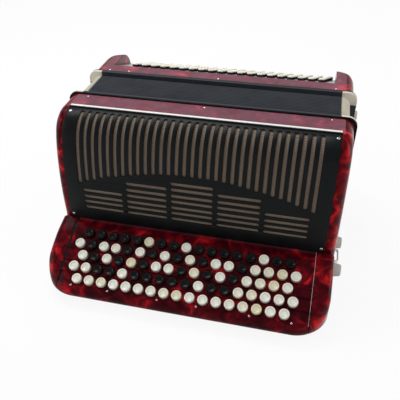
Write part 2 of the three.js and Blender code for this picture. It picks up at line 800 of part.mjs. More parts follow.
// Upright sound slots through the cover, one row on each side of the hand strap
function cover_slots() {
  const reach = cover_half - cover_slot_margin;
  const half = cover_slot_width / 2;
  const strap_reach = strap_width / 2 + cover_slot_clear;
  const rows_z = [[cover_low_z + cover_slot_edge, strap_mid_z - strap_reach],
    [strap_mid_z + strap_reach, cover_high_z - cover_slot_edge]];
  const slots = [];
  for (const [low, high] of rows_z) {
    for (let i = 0; i < cover_slot_columns; i += 1) {
      const x = -reach + (2 * reach * i) / (cover_slot_columns - 1);
      const points = round_rectangle(x - half, x + half, low, high, half - rest_gap, corner_steps);
      slots.push(along_y(points, bass_rear_y - cover_thick - overrun, bass_rear_y + overrun));
    }
  }
  return union(slots);
}
add('bass_end_cover', cover.subtract(air_hole()).subtract(cover_slots()), gloss_black);

const air_length = air_rise + air_skirt + cover_thick;
const air_button = new THREE.CylinderGeometry(air_radius, air_radius, air_length, foot_sides);
air_button.translate(air_x, bass_rear_y + (air_rise - air_skirt - cover_thick) / 2, air_z);
add('air_valve_button', solid(air_button), ivory);

// Hand strap: a bowed leather band along the bass end, held flat by a clip at each end
function strap_y(share) {
  const rise = strap_bulge - strap_thick - rest_gap;
  return bass_rear_y + rest_gap + rise * Math.sin(share * Math.PI) ** strap_bow_share;
}

function hand_strap() {
  const near = [];
  const far = [];
  for (let i = 0; i <= strap_steps; i += 1) {
    const x = strap_half * ((2 * i) / strap_steps - 1);
    near.push([x, strap_y(i / strap_steps)]);
    far.push([x, strap_y(i / strap_steps) + strap_thick]);
  }
  const flat = strap_half + strap_end_flat;
  const start = strap_y(0);
  const outline = [[-flat, start], ...near, [flat, start], [flat, start + strap_thick], ...far.reverse(),
    [-flat, start + strap_thick]];
  return along_z(outline, strap_mid_z - strap_width / 2, strap_mid_z + strap_width / 2);
}
add('hand_strap', hand_strap(), leather);

const clip_front = bass_rear_y + 2 * rest_gap + strap_thick;
function strap_clip(side) {
  const outer = strap_half + strap_end_flat;
  const x0 = outer - strap_clip_length + strap_clip_thick;
  const x1 = outer + rest_gap + strap_clip_thick;
  const low = strap_mid_z - strap_width / 2;
  const high = strap_mid_z + strap_width / 2;
  const foot_y = bass_rear_y + rest_gap;
  const top_y = clip_front + strap_clip_thick;
  const band = [[x0, clip_front], [x1, clip_front], [x1, foot_y], [x1 + strap_clip_thick, foot_y],
    [x1 + strap_clip_thick, top_y], [x0, top_y]];
  const points = side < 0 ? band.map(([x, y]) => [-x, y]).reverse() : band;
  return along_z(points, low, high);
}
add('strap_clip_upper', strap_clip(-1), bright_metal);
add('strap_clip_lower', strap_clip(1), bright_metal);

// Strap adjuster: a ribbed wheel on the upper end
function adjuster_wheel() {
  const points = [];
  for (let i = 0; i < 2 * wheel_rib_count; i += 1) {
    const radius = i % 2 === 0 ? wheel_radius : wheel_radius - wheel_groove;
    const angle = (i * Math.PI) / wheel_rib_count;
    points.push([wheel_y + radius * Math.cos(angle), strap_mid_z + radius * Math.sin(angle)]);
  }
  const face = -body_half - rest_gap;
  const disc = along_x(points, face - wheel_thick, face);
  const hub_end = face + wheel_hub_length;
  const hub = rod_x(wheel_hub_radius, face - wheel_thick, hub_end, wheel_y, strap_mid_z, foot_sides);
  return disc.add(hub);
}

// Feet on the lower end, loops for the shoulder straps on the treble casing
function foot() {
  const points = [[0, 0], [foot_radius, 0], [foot_top_radius, foot_height], [0, foot_height]];
  const geometry = new THREE.LatheGeometry(points.map(([r, h]) => new THREE.Vector2(r, h)), foot_sides);
  geometry.rotateZ(-Math.PI / 2);
  return solid(geometry);
}
const foot_x = body_half + seat_gap;
const foot_low_z = foot_edge - back_drop;
const foot_front_y = wall_front_y + foot_front_inset;
const foot_rear_y = treble_rear_y - foot_rear_inset;
const feet = [
  ['foot_treble_front', foot_front_y, foot_low_z],
  ['foot_treble_rear', foot_rear_y, foot_low_z],
  ['foot_bass_back', bass_front_y + bass_depth / 2, foot_low_z],
  ['foot_bass_front', bass_front_y + bass_depth / 2, cover_high_z],
];
for (const [name, y, z] of feet) {
  add(name, foot(), foot_rubber, new THREE.Matrix4().makeTranslation(foot_x, y, z));
}

function bracket(side, y, reach) {
  const x = body_half + seat_gap;
  const half = bracket_width / 2;
  const outline = [[x, y - half], [x + bracket_plate, y - half], [x + reach, y - half + bracket_plate],
    [x + reach, y + half - bracket_plate], [x + bracket_plate, y + half], [x, y + half]];
  const slot_in = x + reach - bracket_plate;
  const slot_out = slot_in - bracket_slot_deep;
  const wide = bracket_slot_wide / 2;
  const slot = [[slot_out, y - wide], [slot_in, y - wide], [slot_in, y + wide], [slot_out, y + wide]];
  const low = bracket_z - bracket_plate;
  const high = bracket_z + bracket_plate;
  const place = (points) => (side < 0 ? points.map(([u, v]) => [-u, v]).reverse() : points);
  const cut = along_z(place(slot), low - overrun, high + overrun);
  const loop = along_z(place(outline), low, high).subtract(cut);
  const pad_x = side < 0 ? [-x - bracket_plate, -x] : [x, x + bracket_plate];
  const tall = bracket_height / 2;
  const pad = box(pad_x[0], pad_x[1], y - half, y + half, bracket_z - tall, bracket_z + tall);
  return loop.add(pad);
}
const bracket_front_y = wall_front_y + bracket_front_inset;
const bracket_rear_y = treble_rear_y - bracket_rear_inset;
add('strap_bracket_upper_front', bracket(-1, bracket_front_y, bracket_reach), bright_metal);
add('strap_bracket_upper_rear', bracket(-1, bracket_rear_y, bracket_reach), bright_metal);
add('strap_bracket_lower', bracket(1, (foot_front_y + foot_rear_y) / 2, hook_reach), bright_metal);
add('strap_adjuster_wheel', adjuster_wheel(), bright_metal);

// Sound pieces: pallet boards across the casings, reed blocks reaching into the bellows, lever axles
function pallet_board(y0, y1, ceiling) {
  const half = body_half - wall - rest_gap;
  const reach = half / 3;
  const board = box(-half, half, y0, y1, wall + rest_gap - back_drop, ceiling - rest_gap);
  const cuts = [];
  for (let i = -1; i <= 1; i += 1) {
    const x = i * reach * 2;
    cuts.push(box(x - reach / 2, x + reach / 2, y0 - overrun, y1 + overrun, -wall, wall));
  }
  return board.subtract(union(cuts));
}
const treble_board_y = treble_rear_y - pallet_board_lift;
const bass_board_inner_y = bass_front_y + pallet_board_lift;
const treble_board_front = treble_board_y - pallet_board_thick;
const bass_board_rear = bass_board_inner_y + pallet_board_thick;
add('treble_pallet_board', pallet_board(treble_board_front, treble_board_y, top_rise - wall), bare_wood);
add('bass_pallet_board', pallet_board(bass_board_inner_y, bass_board_rear, bass_cavity_top), bare_wood);

const block_middle_z = (top_rise - back_drop) / 2;
const reed_block_half = bellows_half - reed_block_margin;
function reed_block(index, count, y0, y1) {
  const z = block_middle_z + (index - (count - 1) / 2) * reed_block_pitch;
  return box(-reed_block_half, reed_block_half, y0, y1, z - reed_block_width / 2, z + reed_block_width / 2);
}
for (let i = 0; i < treble_blocks_count; i += 1) {
  const y0 = treble_board_y + seat_gap;
  const block = reed_block(i, treble_blocks_count, y0, y0 + reed_block_height);
  add(`treble_reed_block_${i + 1}`, block, bare_wood);
}
for (let i = 0; i < bass_blocks_count; i += 1) {
  const y1 = bass_board_inner_y - seat_gap;
  const block = reed_block(i, bass_blocks_count, y1 - reed_block_height, y1);
  add(`bass_reed_block_${i + 1}`, block, bare_wood);
}

const axle_half = body_half - wall - rest_gap;
add('treble_lever_axle', rod_x(axle_radius, -axle_half, axle_half,
  wall_front_y + axle_inset, axle_lift - back_drop, axle_sides), bright_metal);

export default instrument;
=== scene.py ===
from math import acos, atan2, cos, degrees, hypot, pi, radians, sin, sqrt, tan

import bmesh
import bpy
from mathutils import Matrix, Vector


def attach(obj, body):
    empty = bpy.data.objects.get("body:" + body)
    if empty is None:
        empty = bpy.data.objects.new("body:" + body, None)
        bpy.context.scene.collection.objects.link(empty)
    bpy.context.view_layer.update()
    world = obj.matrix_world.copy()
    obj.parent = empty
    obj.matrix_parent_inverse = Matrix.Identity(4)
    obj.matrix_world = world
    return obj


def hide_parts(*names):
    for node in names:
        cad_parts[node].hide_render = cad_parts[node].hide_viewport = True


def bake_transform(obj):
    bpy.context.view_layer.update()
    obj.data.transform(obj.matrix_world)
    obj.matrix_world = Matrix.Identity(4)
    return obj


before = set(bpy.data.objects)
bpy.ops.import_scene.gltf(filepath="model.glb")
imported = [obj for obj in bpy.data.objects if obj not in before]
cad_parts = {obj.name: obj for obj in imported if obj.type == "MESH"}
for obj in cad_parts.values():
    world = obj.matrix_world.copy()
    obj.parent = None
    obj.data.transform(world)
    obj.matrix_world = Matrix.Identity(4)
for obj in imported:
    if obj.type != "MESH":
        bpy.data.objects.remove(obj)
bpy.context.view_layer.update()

studio = bpy.context.scene

# The camera looks down on the keyboard from the player's side, a little to the right.
# Its place, turn and lens were solved from the centres of the 87 treble buttons.
camera_place = (0.14542, -0.62955, 0.56757)
camera_turn = (51.603, 1.000, 13.347)


def set_out(name, data):
    made = bpy.data.objects.new(name, data)
    studio.collection.objects.link(made)
    return made


camera = set_out("camera", bpy.data.cameras.new("camera"))
camera.data.lens = 45.18
camera.data.sensor_width = 36.0
camera.location = camera_place
camera.rotation_euler = [radians(angle) for angle in camera_turn]
studio.camera = camera
studio.view_settings.view_transform = "Standard"


# A shader socket that takes part in plain arithmetic, and the material around it.
# Each node comes from node(): its type, its settings, then the values or links of its sockets.
class Tone:
    def __init__(self, finish, socket):
        self.finish = finish
        self.socket = socket

    def sum_of(self, operation, *values):
        return self.finish.node("ShaderNodeMath", {"operation": operation}, dict(enumerate(values)))

    def __add__(self, other):
        return self.sum_of("ADD", self, other)

    def __radd__(self, other):
        return self.sum_of("ADD", other, self)

    def __sub__(self, other):
        return self.sum_of("SUBTRACT", self, other)

    def __rsub__(self, other):
        return self.sum_of("SUBTRACT", other, self)

    def __mul__(self, other):
        return self.sum_of("MULTIPLY", self, other)

    def __rmul__(self, other):
        return self.sum_of("MULTIPLY", other, self)

    def __abs__(self):
        return self.sum_of("ABSOLUTE", self)

    def at_least(self, floor):
        return self.sum_of("MAXIMUM", self, floor)


class Finish:
    def __init__(self, name, shader=None):
        self.material = bpy.data.materials.new(name)
        self.material.use_nodes = True
        self.tree = self.material.node_tree
        self.shader = self.tree.nodes["Principled BSDF"]
        self.wear(shader or {})

    def node(self, kind, settings=None, inputs=None, output=0):
        made = self.tree.nodes.new(kind)
        for key, value in (settings or {}).items():
            if key == "stops":
                stops = made.color_ramp.elements
                while len(stops) < len(value):
                    stops.new(0.5)
                for stop, (place, colour) in zip(stops, value):
                    stop.position = place
                    stop.color = (*colour, 1.0)
            else:
                setattr(made, key, value)
        for key, value in (inputs or {}).items():
            self.feed(made.inputs[key], value)
        return Tone(self, made.outputs[output])

    def feed(self, socket, value):
        if isinstance(value, Tone):
            self.tree.links.new(value.socket, socket)
        else:
            socket.default_value = value

    def wear(self, inputs):
        for key, value in inputs.items():
            self.feed(self.shader.inputs[key], value)

    def place(self, stretch=(1.0, 1.0, 1.0)):
        here = self.node("ShaderNodeTexCoord", output="Object")
        return self.node("ShaderNodeVectorMath", {"operation": "MULTIPLY"}, {0: here, 1: stretch})

    def noise(self, where, scale, detail=2.0, rough=0.5, bend=0.0, output="Fac"):
        inputs = {"Vector": where, "Scale": scale, "Detail": detail, "Roughness": rough, "Distortion": bend}
        return self.node("ShaderNodeTexNoise", None, inputs, output)

    def bands(self, where, way, scale, bend, detail=2.0):
        inputs = {"Vector": where, "Scale": scale, "Distortion": bend, "Detail": detail}
        return self.node("ShaderNodeTexWave", {"bands_direction": way}, inputs, "Fac")

    def axis(self, vector, name):
        return self.node("ShaderNodeSeparateXYZ", None, {0: vector}, name)

    def painted(self, name):
        return self.node("ShaderNodeAttribute", {"attribute_name": name}, None, "Fac")

    def ramp(self, amount, stops):
        return self.node("ShaderNodeValToRGB", {"stops": stops}, {0: amount}, "Color")

    def mix(self, amount, first, second):
        colours = [value if isinstance(value, Tone) else (*value, 1.0) for value in (first, second)]
        return self.node("ShaderNodeMix", {"data_type": "RGBA"}, {0: amount, 6: colours[0], 7: colours[1]}, 2)

    def dress(self, colour, rough, relief=None, strength=0.0, depth=0.0):
        self.wear({"Base Color": colour, "Roughness": rough})
        if relief:
            inputs = {"Height": relief, "Strength": strength, "Distance": depth}
            self.wear({"Normal": self.node("ShaderNodeBump", None, inputs)})

    def mottle(self, grain, first, second, rough, spread, stretch=(1.0, 1.0, 1.0)):
        cloud = self.noise(self.place(stretch), *grain)
        self.dress(self.mix(cloud, first, second), rough + spread * cloud)


# White paper sweep under and all round the instrument, with a curved foot where floor turns into wall.
# One large soft light hangs overhead, smaller ones stand left and right, and the rest is an even grey room.
sweep_flat = 1.5
sweep_reach = 4.0
sweep_bend = 0.8
sweep_height = 2.0
sweep_sides = 72
bend_steps = 8
paper_glow = 0.9
room_light = 0.5


def circle(radius, sides):
    turns = [2 * pi * i / sides for i in range(sides)]
    return [(radius * cos(turn), radius * sin(turn)) for turn in turns]


sweep_profile = [(sweep_flat, 0.0), (sweep_reach - sweep_bend, 0.0)]
for k in range(1, bend_steps + 1):
    angle = radians(90 * k / bend_steps)
    back, up = sweep_bend * (1 - sin(angle)), sweep_bend * (1 - cos(angle))
    sweep_profile.append((sweep_reach - back, up))
sweep_profile.append((sweep_reach, sweep_height))
sweep_points = [(0.0, 0.0, 0.0)]
for reach, height in sweep_profile:
    sweep_points += [(x, y, height) for x, y in circle(reach, sweep_sides)]
sweep_faces = [(0, 1 + i, 1 + (i + 1) % sweep_sides) for i in range(sweep_sides)]
for ring in range(len(sweep_profile) - 1):
    for i in range(sweep_sides):
        a, b = 1 + ring * sweep_sides + i, 1 + ring * sweep_sides + (i + 1) % sweep_sides
        sweep_faces.append((a, a + sweep_sides, b + sweep_sides, b))
sweep_mesh = bpy.data.meshes.new("paper_sweep")
sweep_mesh.from_pydata(sweep_points, [], sweep_faces)
sweep_mesh.shade_smooth()
paper_sweep = set_out("paper_sweep", sweep_mesh)
paper = Finish("white_paper", {"Roughness": 0.9, "Specular IOR Level": 0.1})
paper_grain = paper.noise(paper.place(), 60.0, 3.0)
paper.wear({"Base Color": paper.mix(paper_grain, (0.90, 0.90, 0.90), (0.93, 0.93, 0.93))})
seen = paper.node("ShaderNodeLightPath", output="Is Camera Ray")
mirrored = paper.node("ShaderNodeLightPath", output="Is Glossy Ray")
through = paper.node("ShaderNodeLightPath", output="Is Transmission Ray")
glow = paper.node("ShaderNodeEmission", None, {"Color": (1.0, 1.0, 1.0, 1.0), "Strength": 1.0})
paper_lit = Tone(paper, paper.shader.outputs[0])
rays = (seen + mirrored + through) * paper_glow
lit = paper.node("ShaderNodeMixShader", None, {0: rays, 1: paper_lit, 2: glow})
paper.feed(paper.tree.nodes["Material Output"].inputs["Surface"], lit)
paper_sweep.data.materials.append(paper.material)

room = bpy.data.worlds.new("grey_room")
room.use_nodes = True
room.node_tree.nodes["Background"].inputs["Color"].default_value = (1.0, 1.0, 1.0, 1.0)
room.node_tree.nodes["Background"].inputs["Strength"].default_value = room_light
studio.world = room


def soft_light(name, place, aim, size, power):
    lamp = bpy.data.lights.new(name, "AREA")
    lamp.shape = "RECTANGLE"
    lamp.size, lamp.size_y = size
    lamp.energy = power
    holder = set_out(name, lamp)
    holder.location = place
    holder.rotation_euler = (Vector(aim) - Vector(place)).to_track_quat("-Z", "Y").to_euler()


soft_light("overhead_light", (-0.45, 0.55, 1.45), (0.0, 0.0, 0.1), (1.0, 0.5), 12.0)
soft_light("left_light", (-1.5, -0.5, 0.9), (0.0, 0.0, 0.1), (0.5, 1.0), 5.0)
soft_light("right_light", (1.5, 0.1, 0.9), (0.0, 0.0, 0.1), (0.5, 1.0), 5.0)

# Treble casing: a wooden box covered in red pearl celluloid, with a rounded cheek at each end.
# The cheeks carry the grille in a recess between them; the box is open towards the bellows.
keys_y = 131.7485
keys_z = 72.0
millimetre = 0.001
body_half = 204.5
back_z = -72.0
top_z = 160.0
end_roll = 12.0
wall = 6.0
recess_half = 189.3
recess_rear = 90.8
recess_floor = 1.9
seat_depth = 1.9
seat_thick = 4.0
seat_z = 155.5
wall_front_y = 28.3
treble_rear_y = 122.0
shoulder_y, shoulder_z, shoulder_radius = 84.0, 119.0, 40.0
shoulder_turn = 65.0
shoulder_share = 0.4
upper_pull, lower_pull = 35.0, 43.0
front_foot = (26.0, 2.2)
cheek_behind, cheek_above = 4.0, 1.0
cheek_step_z, cheek_bend_z = -4.0, -12.0
window_first, window_last = 0.035, 0.93
window_half = 182.0
lever_gap_half, lever_gap_foot, lever_gap_top = 173.0, -60.0, -12.0
crease = radians(35)


def home(points):
    return [Vector((x, y - keys_y, z + keys_z)) * millimetre for x, y, z in points]


def local(point):
    return point.x / millimetre, point.y / millimetre + keys_y, point.z / millimetre - keys_z


def tilted(points, y, z, angle):
    turn = Matrix.Rotation(radians(angle), 3, "X")
    return [turn @ Vector(point) + Vector((0.0, y, z)) for point in points]


def opened(mesh):
    shape = bmesh.new()
    shape.from_mesh(mesh)
    return shape


def closed(shape, mesh):
    shape.to_mesh(mesh)
    shape.free()


def sharpen(mesh):
    shape = opened(mesh)
    bmesh.ops.recalc_face_normals(shape, faces=shape.faces)
    for face in shape.faces:
        face.smooth = len(face.verts) <= 8
    for edge in shape.edges:
        edge.smooth = len(edge.link_faces) == 2 and edge.calc_face_angle() < crease
    closed(shape, mesh)


def piece(name, points, faces, finish=None):
    mesh = bpy.data.meshes.new(name)
    mesh.from_pydata(home(points), [], faces)
    sharpen(mesh)
    if finish:
        mesh.materials.append(finish.material)
    return set_out(name, mesh)


def loft(rings, ends=True):
    count = len(rings[0])
    points = [point for ring in rings for point in ring]
    faces = []
    for r in range(len(rings) - 1):
        for i in range(count):
            a, b = r * count + i, r * count + (i + 1) % count
            faces.append((a, b, b + count, a + count))
    if ends:
        faces.append(tuple(range(count))[::-1])
        faces.append(tuple((len(rings) - 1) * count + i for i in range(count)))
    return points, faces


def bar(outline, x0, x1):
    return loft([[(x, y, z) for y, z in outline] for x in (x0, x1)])


def corners(x0, x1, y0, y1):
    return [(x0, y0), (x1, y0), (x1, y1), (x0, y1)]


def block(x0, x1, y0, y1, z0, z1):
    return bar(corners(y0, y1, z0, z1), x0, x1)


def as_mesh(holder):
    return bpy.data.meshes.new_from_object(holder.evaluated_get(bpy.context.evaluated_depsgraph_get()))


def carve(target, cutters, operation="DIFFERENCE"):
    for points, faces in cutters:
        tool = piece("tool", points, faces)
        cut = target.modifiers.new("cut", "BOOLEAN")
        cut.operation, cut.solver, cut.object = operation, "MANIFOLD", tool
        mesh = as_mesh(target)
        target.modifiers.clear()
        target.data = mesh
        bpy.data.objects.remove(tool)


def neat(target):
    shape = opened(target.data)
    bmesh.ops.remove_doubles(shape, verts=shape.verts, dist=1e-6)
    bmesh.ops.dissolve_limit(shape, angle_limit=radians(0.4), verts=shape.verts, edges=shape.edges)
    closed(shape, target.data)
    sharpen(target.data)


def soften(target, chosen, width):
    shape = opened(target.data)
    edges = [edge for edge in shape.edges if all(chosen(*local(vert.co)) for vert in edge.verts)
             and len(edge.link_faces) == 2 and edge.calc_face_angle() > radians(40)]
    bmesh.ops.bevel(shape, geom=edges, offset=width * millimetre, segments=3, affect="EDGES",
                    profile=0.5, clamp_overlap=True)
    closed(shape, target.data)
    sharpen(target.data)


def fit(made, body, node=None):
    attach(made, body)
    if node:
        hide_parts(node)


def rounded(points, radii, steps=4):
    made = []
    for i, (corner, radius) in enumerate(zip(points, radii)):
        here = Vector(corner)
        before = Vector(points[i - 1]) - here
        after = Vector(points[(i + 1) % len(points)]) - here
        if radius <= 0:
            made.append(tuple(here))
            continue
        half = before.angle(after) / 2
        reach = min(radius / tan(half), before.length * 0.49, after.length * 0.49)
        start, end = here + before.normalized() * reach, here + after.normalized() * reach
        for k in range(steps + 1):
            t = k / steps
            made.append(tuple(start * (1 - t) ** 2 + here * (2 * t * (1 - t)) + end * t ** 2))
    return made


def front_point(share, inset=0.0):
    if share <= shoulder_share:
        angle = radians(90 + shoulder_turn * share / shoulder_share)
        reach = shoulder_radius - inset
        return shoulder_y + reach * cos(angle), shoulder_z + reach * sin(angle)
    t = (share - shoulder_share) / (1 - shoulder_share)
    angle = radians(90 + shoulder_turn)
    tangent = Vector((-sin(angle), cos(angle)))
    start = Vector((shoulder_y, shoulder_z)) + Vector((cos(angle), sin(angle))) * shoulder_radius
    pull = start + tangent * upper_pull
    foot = Vector(front_foot)
    lift = foot + Vector((0.0, lower_pull))
    at = start * (1 - t) ** 3 + pull * (3 * t * (1 - t) ** 2) + lift * (3 * t * t * (1 - t)) + foot * t ** 3
    run = (pull - start) * (1 - t) ** 2 + (lift - pull) * (2 * t * (1 - t)) + (foot - lift) * t * t
    run.normalize()
    return at.x - run.y * inset, at.y + run.x * inset


def front_curve(inset=0.0, first=0.0, last=1.0, steps=56):
    return [front_point(first + (last - first) * i / steps, inset) for i in range(steps + 1)]


def shrunk(outline, amount, fixed_y):
    made = []
    for i, corner in enumerate(outline):
        here = Vector(corner)
        back = (here - Vector(outline[i - 1])).normalized()
        ahead = (Vector(outline[(i + 1) % len(outline)]) - here).normalized()
        if abs(here.x - fixed_y) < 1e-6:
            made.append((here.x, here.y + (amount if here.y < 0 else -amount)))
            continue
        normal = Vector((-back.y - ahead.y, back.x + ahead.x))
        normal.normalize()
        made.append(tuple(here + normal * (amount / max(0.5, normal.dot(Vector((-back.y, back.x)))))))
    return made


def roll(distance, radius):
    if distance >= radius:
        return 0.0
    return radius - sqrt(max(0.0, radius ** 2 - (radius - distance) ** 2))


pearl = Finish("pearl_red", {"Coat Roughness": 0.24, "Specular IOR Level": 0.04})
pearl_place = pearl.place()
pearl_drift = pearl.noise(pearl_place, 26.0, 2.0, output="Color")
pearl_swirl = pearl.node("ShaderNodeVectorMath", {"operation": "MULTIPLY_ADD"},
                         {0: pearl_drift, 1: (0.035, 0.035, 0.035), 2: pearl_place})
pearl_cloud = pearl.noise(pearl_swirl, 44.0, 3.0, 0.55, 0.9)
pearl_flake = pearl.node("ShaderNodeTexVoronoi", {"feature": "SMOOTH_F1"},
                         {"Vector": pearl_swirl, "Scale": 70.0, "Smoothness": 0.7}, "Distance")
pearl_turn = pearl.node("ShaderNodeNewGeometry", output="Normal")
pearl_side = abs(pearl.axis(pearl_turn, "X"))
pearl_up = pearl.axis(pearl_turn, "Z")
pearl_across = abs(pearl.axis(pearl_place, "X"))
# Painted light: the red is made brighter towards both ends, as if lit there from the sides.
pearl_end_painted_light = ((pearl_across - 0.14) * 1.6).at_least(0.0)
pearl_depth = pearl_cloud + (pearl_flake - 0.32) * 0.34 + pearl_end_painted_light
pearl_red = pearl.ramp(pearl_depth, [
    (0.30, (0.020, 0.0008, 0.002)), (0.48, (0.042, 0.0013, 0.004)), (0.60, (0.085, 0.0022, 0.006)),
    (0.72, (0.22, 0.004, 0.008)), (0.84, (0.60, 0.014, 0.018))])
# Level tops take a mauve tint that is partly dust and partly painted sheen, standing in for the room's
# reflection.
pearl_level = ((pearl_up - 0.99) * 100.0).at_least(0.0)
pearl_dust_and_sheen = pearl_level * (0.20 + 0.50 * pearl.noise(pearl_place, 30.0, 5.0))
pearl.dress(pearl.mix(pearl_dust_and_sheen, pearl_red, (0.34, 0.155, 0.205)),
            0.18 + 0.16 * pearl.noise(pearl_place, 90.0, 4.0))
pearl.wear({"Coat Weight": 0.02 + 0.60 * pearl_side * pearl_side})

cheek_curve = [(y + cheek_behind, z + cheek_above) for y, z in front_curve()]
cheek_foot = [(wall_front_y + 0.6, cheek_step_z), (wall_front_y, cheek_bend_z), (wall_front_y, back_z)]
cheek_outline = [(treble_rear_y, back_z), (treble_rear_y, top_z)] + cheek_curve + cheek_foot
cheek_radii = [0.0] * (len(cheek_outline) - 1) + [5.0]
cheek_steps = [0.0, 0.4, 1.2, 2.4, 4.0, 6.0, 8.5, 12.0]
cheek_rings = []
for side in (-1, 1):
    for step in cheek_steps[::-side]:
        inset = roll(step, end_roll)
        ring = rounded(shrunk(cheek_outline, inset, treble_rear_y), cheek_radii)
        cheek_rings.append([(side * (body_half - step), y, z) for y, z in ring])
treble_casing = piece("treble_casing_shell", *loft(cheek_rings), pearl)
cavity_rear = treble_rear_y + 8.0
cavity_front = wall_front_y + 4.0
seat_outline = ([(recess_rear, seat_z), (shoulder_y, seat_z)] + front_curve(seat_depth)
                + [(wall_front_y, recess_floor), (cavity_front, recess_floor), (recess_rear, seat_z - wall)])
cavity_top = [(cavity_rear, top_z - wall), (recess_rear + wall, top_z - wall), (recess_rear, seat_z - wall)]
cavity_foot = [(cavity_front, recess_floor), (cavity_front, back_z + wall), (cavity_rear, back_z + wall)]
cavity_outline = cavity_top + front_curve(seat_depth + seat_thick, window_first) + cavity_foot
window = front_curve(-6.0, window_first, window_last) + front_curve(12.0, window_first, window_last)[::-1]
carve(treble_casing, [block(-recess_half, recess_half, -10.0, recess_rear, recess_floor, top_z + 10.0)])
carve(treble_casing, [bar(seat_outline, -recess_half - 0.5, recess_half + 0.5)], "UNION")
carve(treble_casing, [
    bar(cavity_outline, wall - body_half, body_half - wall),
    bar(window, -window_half, window_half),
    block(-lever_gap_half, lever_gap_half, 0.0, wall_front_y + 10.0, lever_gap_foot, lever_gap_top),
])
neat(treble_casing)
soften(treble_casing, lambda x, y, z: abs(abs(x) - recess_half) < 0.05 and y < 90.0 and z > 2.5, 2.0)
fit(treble_casing, "treble", "treble_casing")

# Grille: one sheet of metal bent over the front and lacquered black.
# Upright slots end on an arch, with rows of plain louvres stepped below it; a screw holds each corner.
grille_half = 189.0
grille_sheet = 1.6
grille_edge = 0.35
grille_bends = 60
slot_pitch = 11.0667
slot_width = 5.0
slot_top = 6.24
side_slots = 15
arch_height, arch_drop = 96.5, 30.0
louvre_cells = (5, 5, 5, 5, 3, 3, 1)
louvre_low, louvre_gap = 26.0, 9.6
louvre_half, louvre_bridge = 2.4, 6.2
front_line = front_curve(steps=240)
front_length = [0.0]
for before, after in zip(front_line, front_line[1:]):
    front_length.append(front_length[-1] + (Vector(after) - Vector(before)).length)
front_end = front_length[-1]


def down_front(height):
    for i, (y, z) in enumerate(front_line):
        if z < height:
            return front_length[i]
    return front_end


def on_front(x, along, out):
    along = min(max(along, 0.0), front_end - 1e-6)
    i = max(k for k in range(len(front_length)) if front_length[k] <= along)
    i = min(i, len(front_line) - 2)
    share = (along - front_length[i]) / (front_length[i + 1] - front_length[i])
    here = Vector(front_line[i]).lerp(Vector(front_line[i + 1]), share)
    low = Vector(front_line[max(i - 2, 0)])
    high = Vector(front_line[min(i + 3, len(front_line) - 1)])
    slope = (high - low).normalized()
    return x, here.x + slope.y * out, here.y - slope.x * out


def arc(cx, cy, radius, first, last, steps):
    turns = [radians(first + (last - first) * i / steps) for i in range(steps + 1)]
    return [(cx + radius * cos(turn), cy + radius * sin(turn)) for turn in turns]


def round_box(x0, x1, z0, z1, radius, steps=10):
    made = []
    for quarter, (cx, cz) in enumerate(corners(x1 - radius, x0 + radius, z1 - radius, z0 + radius)):
        made += arc(cx, cz, radius, 90 * quarter, 90 * quarter + 90, steps)
    return made


def oval(x0, x1, v0, v1):
    return round_box(x0, x1, v0, v1, min(x1 - x0, v1 - v0) / 2 - 0.01, 8)


def plate(outlines, thick, edge, edge_steps=1):
    flat = bpy.data.curves.new("plate", "CURVE")
    flat.dimensions, flat.fill_mode = "2D", "BOTH"
    flat.extrude, flat.bevel_depth, flat.offset = thick / 2 - edge, edge, -edge
    flat.bevel_resolution = edge_steps
    for outline in outlines:
        line = flat.splines.new("POLY")
        line.points.add(len(outline) - 1)
        for point, (u, v) in zip(line.points, outline):
            point.co = (u, v, 0.0, 1.0)
        line.use_cyclic_u = True
    holder = set_out("plate", flat)
    shape = opened(as_mesh(holder))
    bpy.data.objects.remove(holder)
    bmesh.ops.remove_doubles(shape, verts=shape.verts, dist=1e-4)
    return shape


def settle(shape):
    points = [tuple(vert.co) for vert in shape.verts]
    faces = [tuple(vert.index for vert in face.verts) for face in shape.faces]
    shape.free()
    return points, faces


def split(shape, place, normal, near):
    bmesh.ops.bisect_plane(shape, geom=shape.verts[:] + shape.edges[:] + shape.faces[:],
                           plane_co=place, plane_no=normal, dist=near)


grille_cuts = [corners(-grille_half, grille_half, 0.0, front_end)]
for i in range(-side_slots, side_slots + 1):
    foot = down_front(arch_height - arch_drop * (i / side_slots) ** 2)
    grille_cuts.append(oval(i * slot_pitch - slot_width / 2, i * slot_pitch + slot_width / 2, slot_top, foot))
louvre_cell = 6 * slot_pitch
reach = (louvre_cell - louvre_bridge) / 2
for row, cells in enumerate(louvre_cells):
    height = louvre_low + louvre_gap * row
    upper, lower = down_front(height + louvre_half), down_front(height - louvre_half)
    for i in range(cells):
        x = (i - (cells - 1) / 2) * louvre_cell
        grille_cuts.append(oval(x - reach, x + reach, upper, lower))
grille_shape = plate(grille_cuts, grille_sheet, grille_edge)
for i in range(1, grille_bends):
    split(grille_shape, (0.0, front_end * i / grille_bends, 0.0), (0.0, 1.0, 0.0), 1e-5)
grille_shape.verts.index_update()
grille_flat, grille_faces = settle(grille_shape)
black = Finish("grille_black", {"Specular IOR Level": 0.1})
black_place = black.place()
black_smear = black.noise(black_place, 38.0, 5.0, 0.6)
black_scratch = black.noise(black.place((1.0, 0.08, 0.08)), 900.0, 2.0)
black.dress(black.mix(black_smear, (0.003, 0.0035, 0.004), (0.008, 0.009, 0.010)),
            0.26 + 0.16 * black_smear + 0.05 * black_scratch)
grille_points = [on_front(x, s, z - grille_sheet / 2) for x, s, z in grille_flat]
grille = piece("grille_sheet", grille_points, grille_faces, black)
fit(grille, "treble", "treble_grille")


def turned(profile, sides):
    return loft([[(u, v, height) for u, v in circle(radius, sides)] for radius, height in profile])


def gathered(parts):
    points, faces = [], []
    for more_points, more_faces in parts:
        start = len(points)
        points += more_points
        faces += [tuple(i + start for i in face) for face in more_faces]
    return points, faces


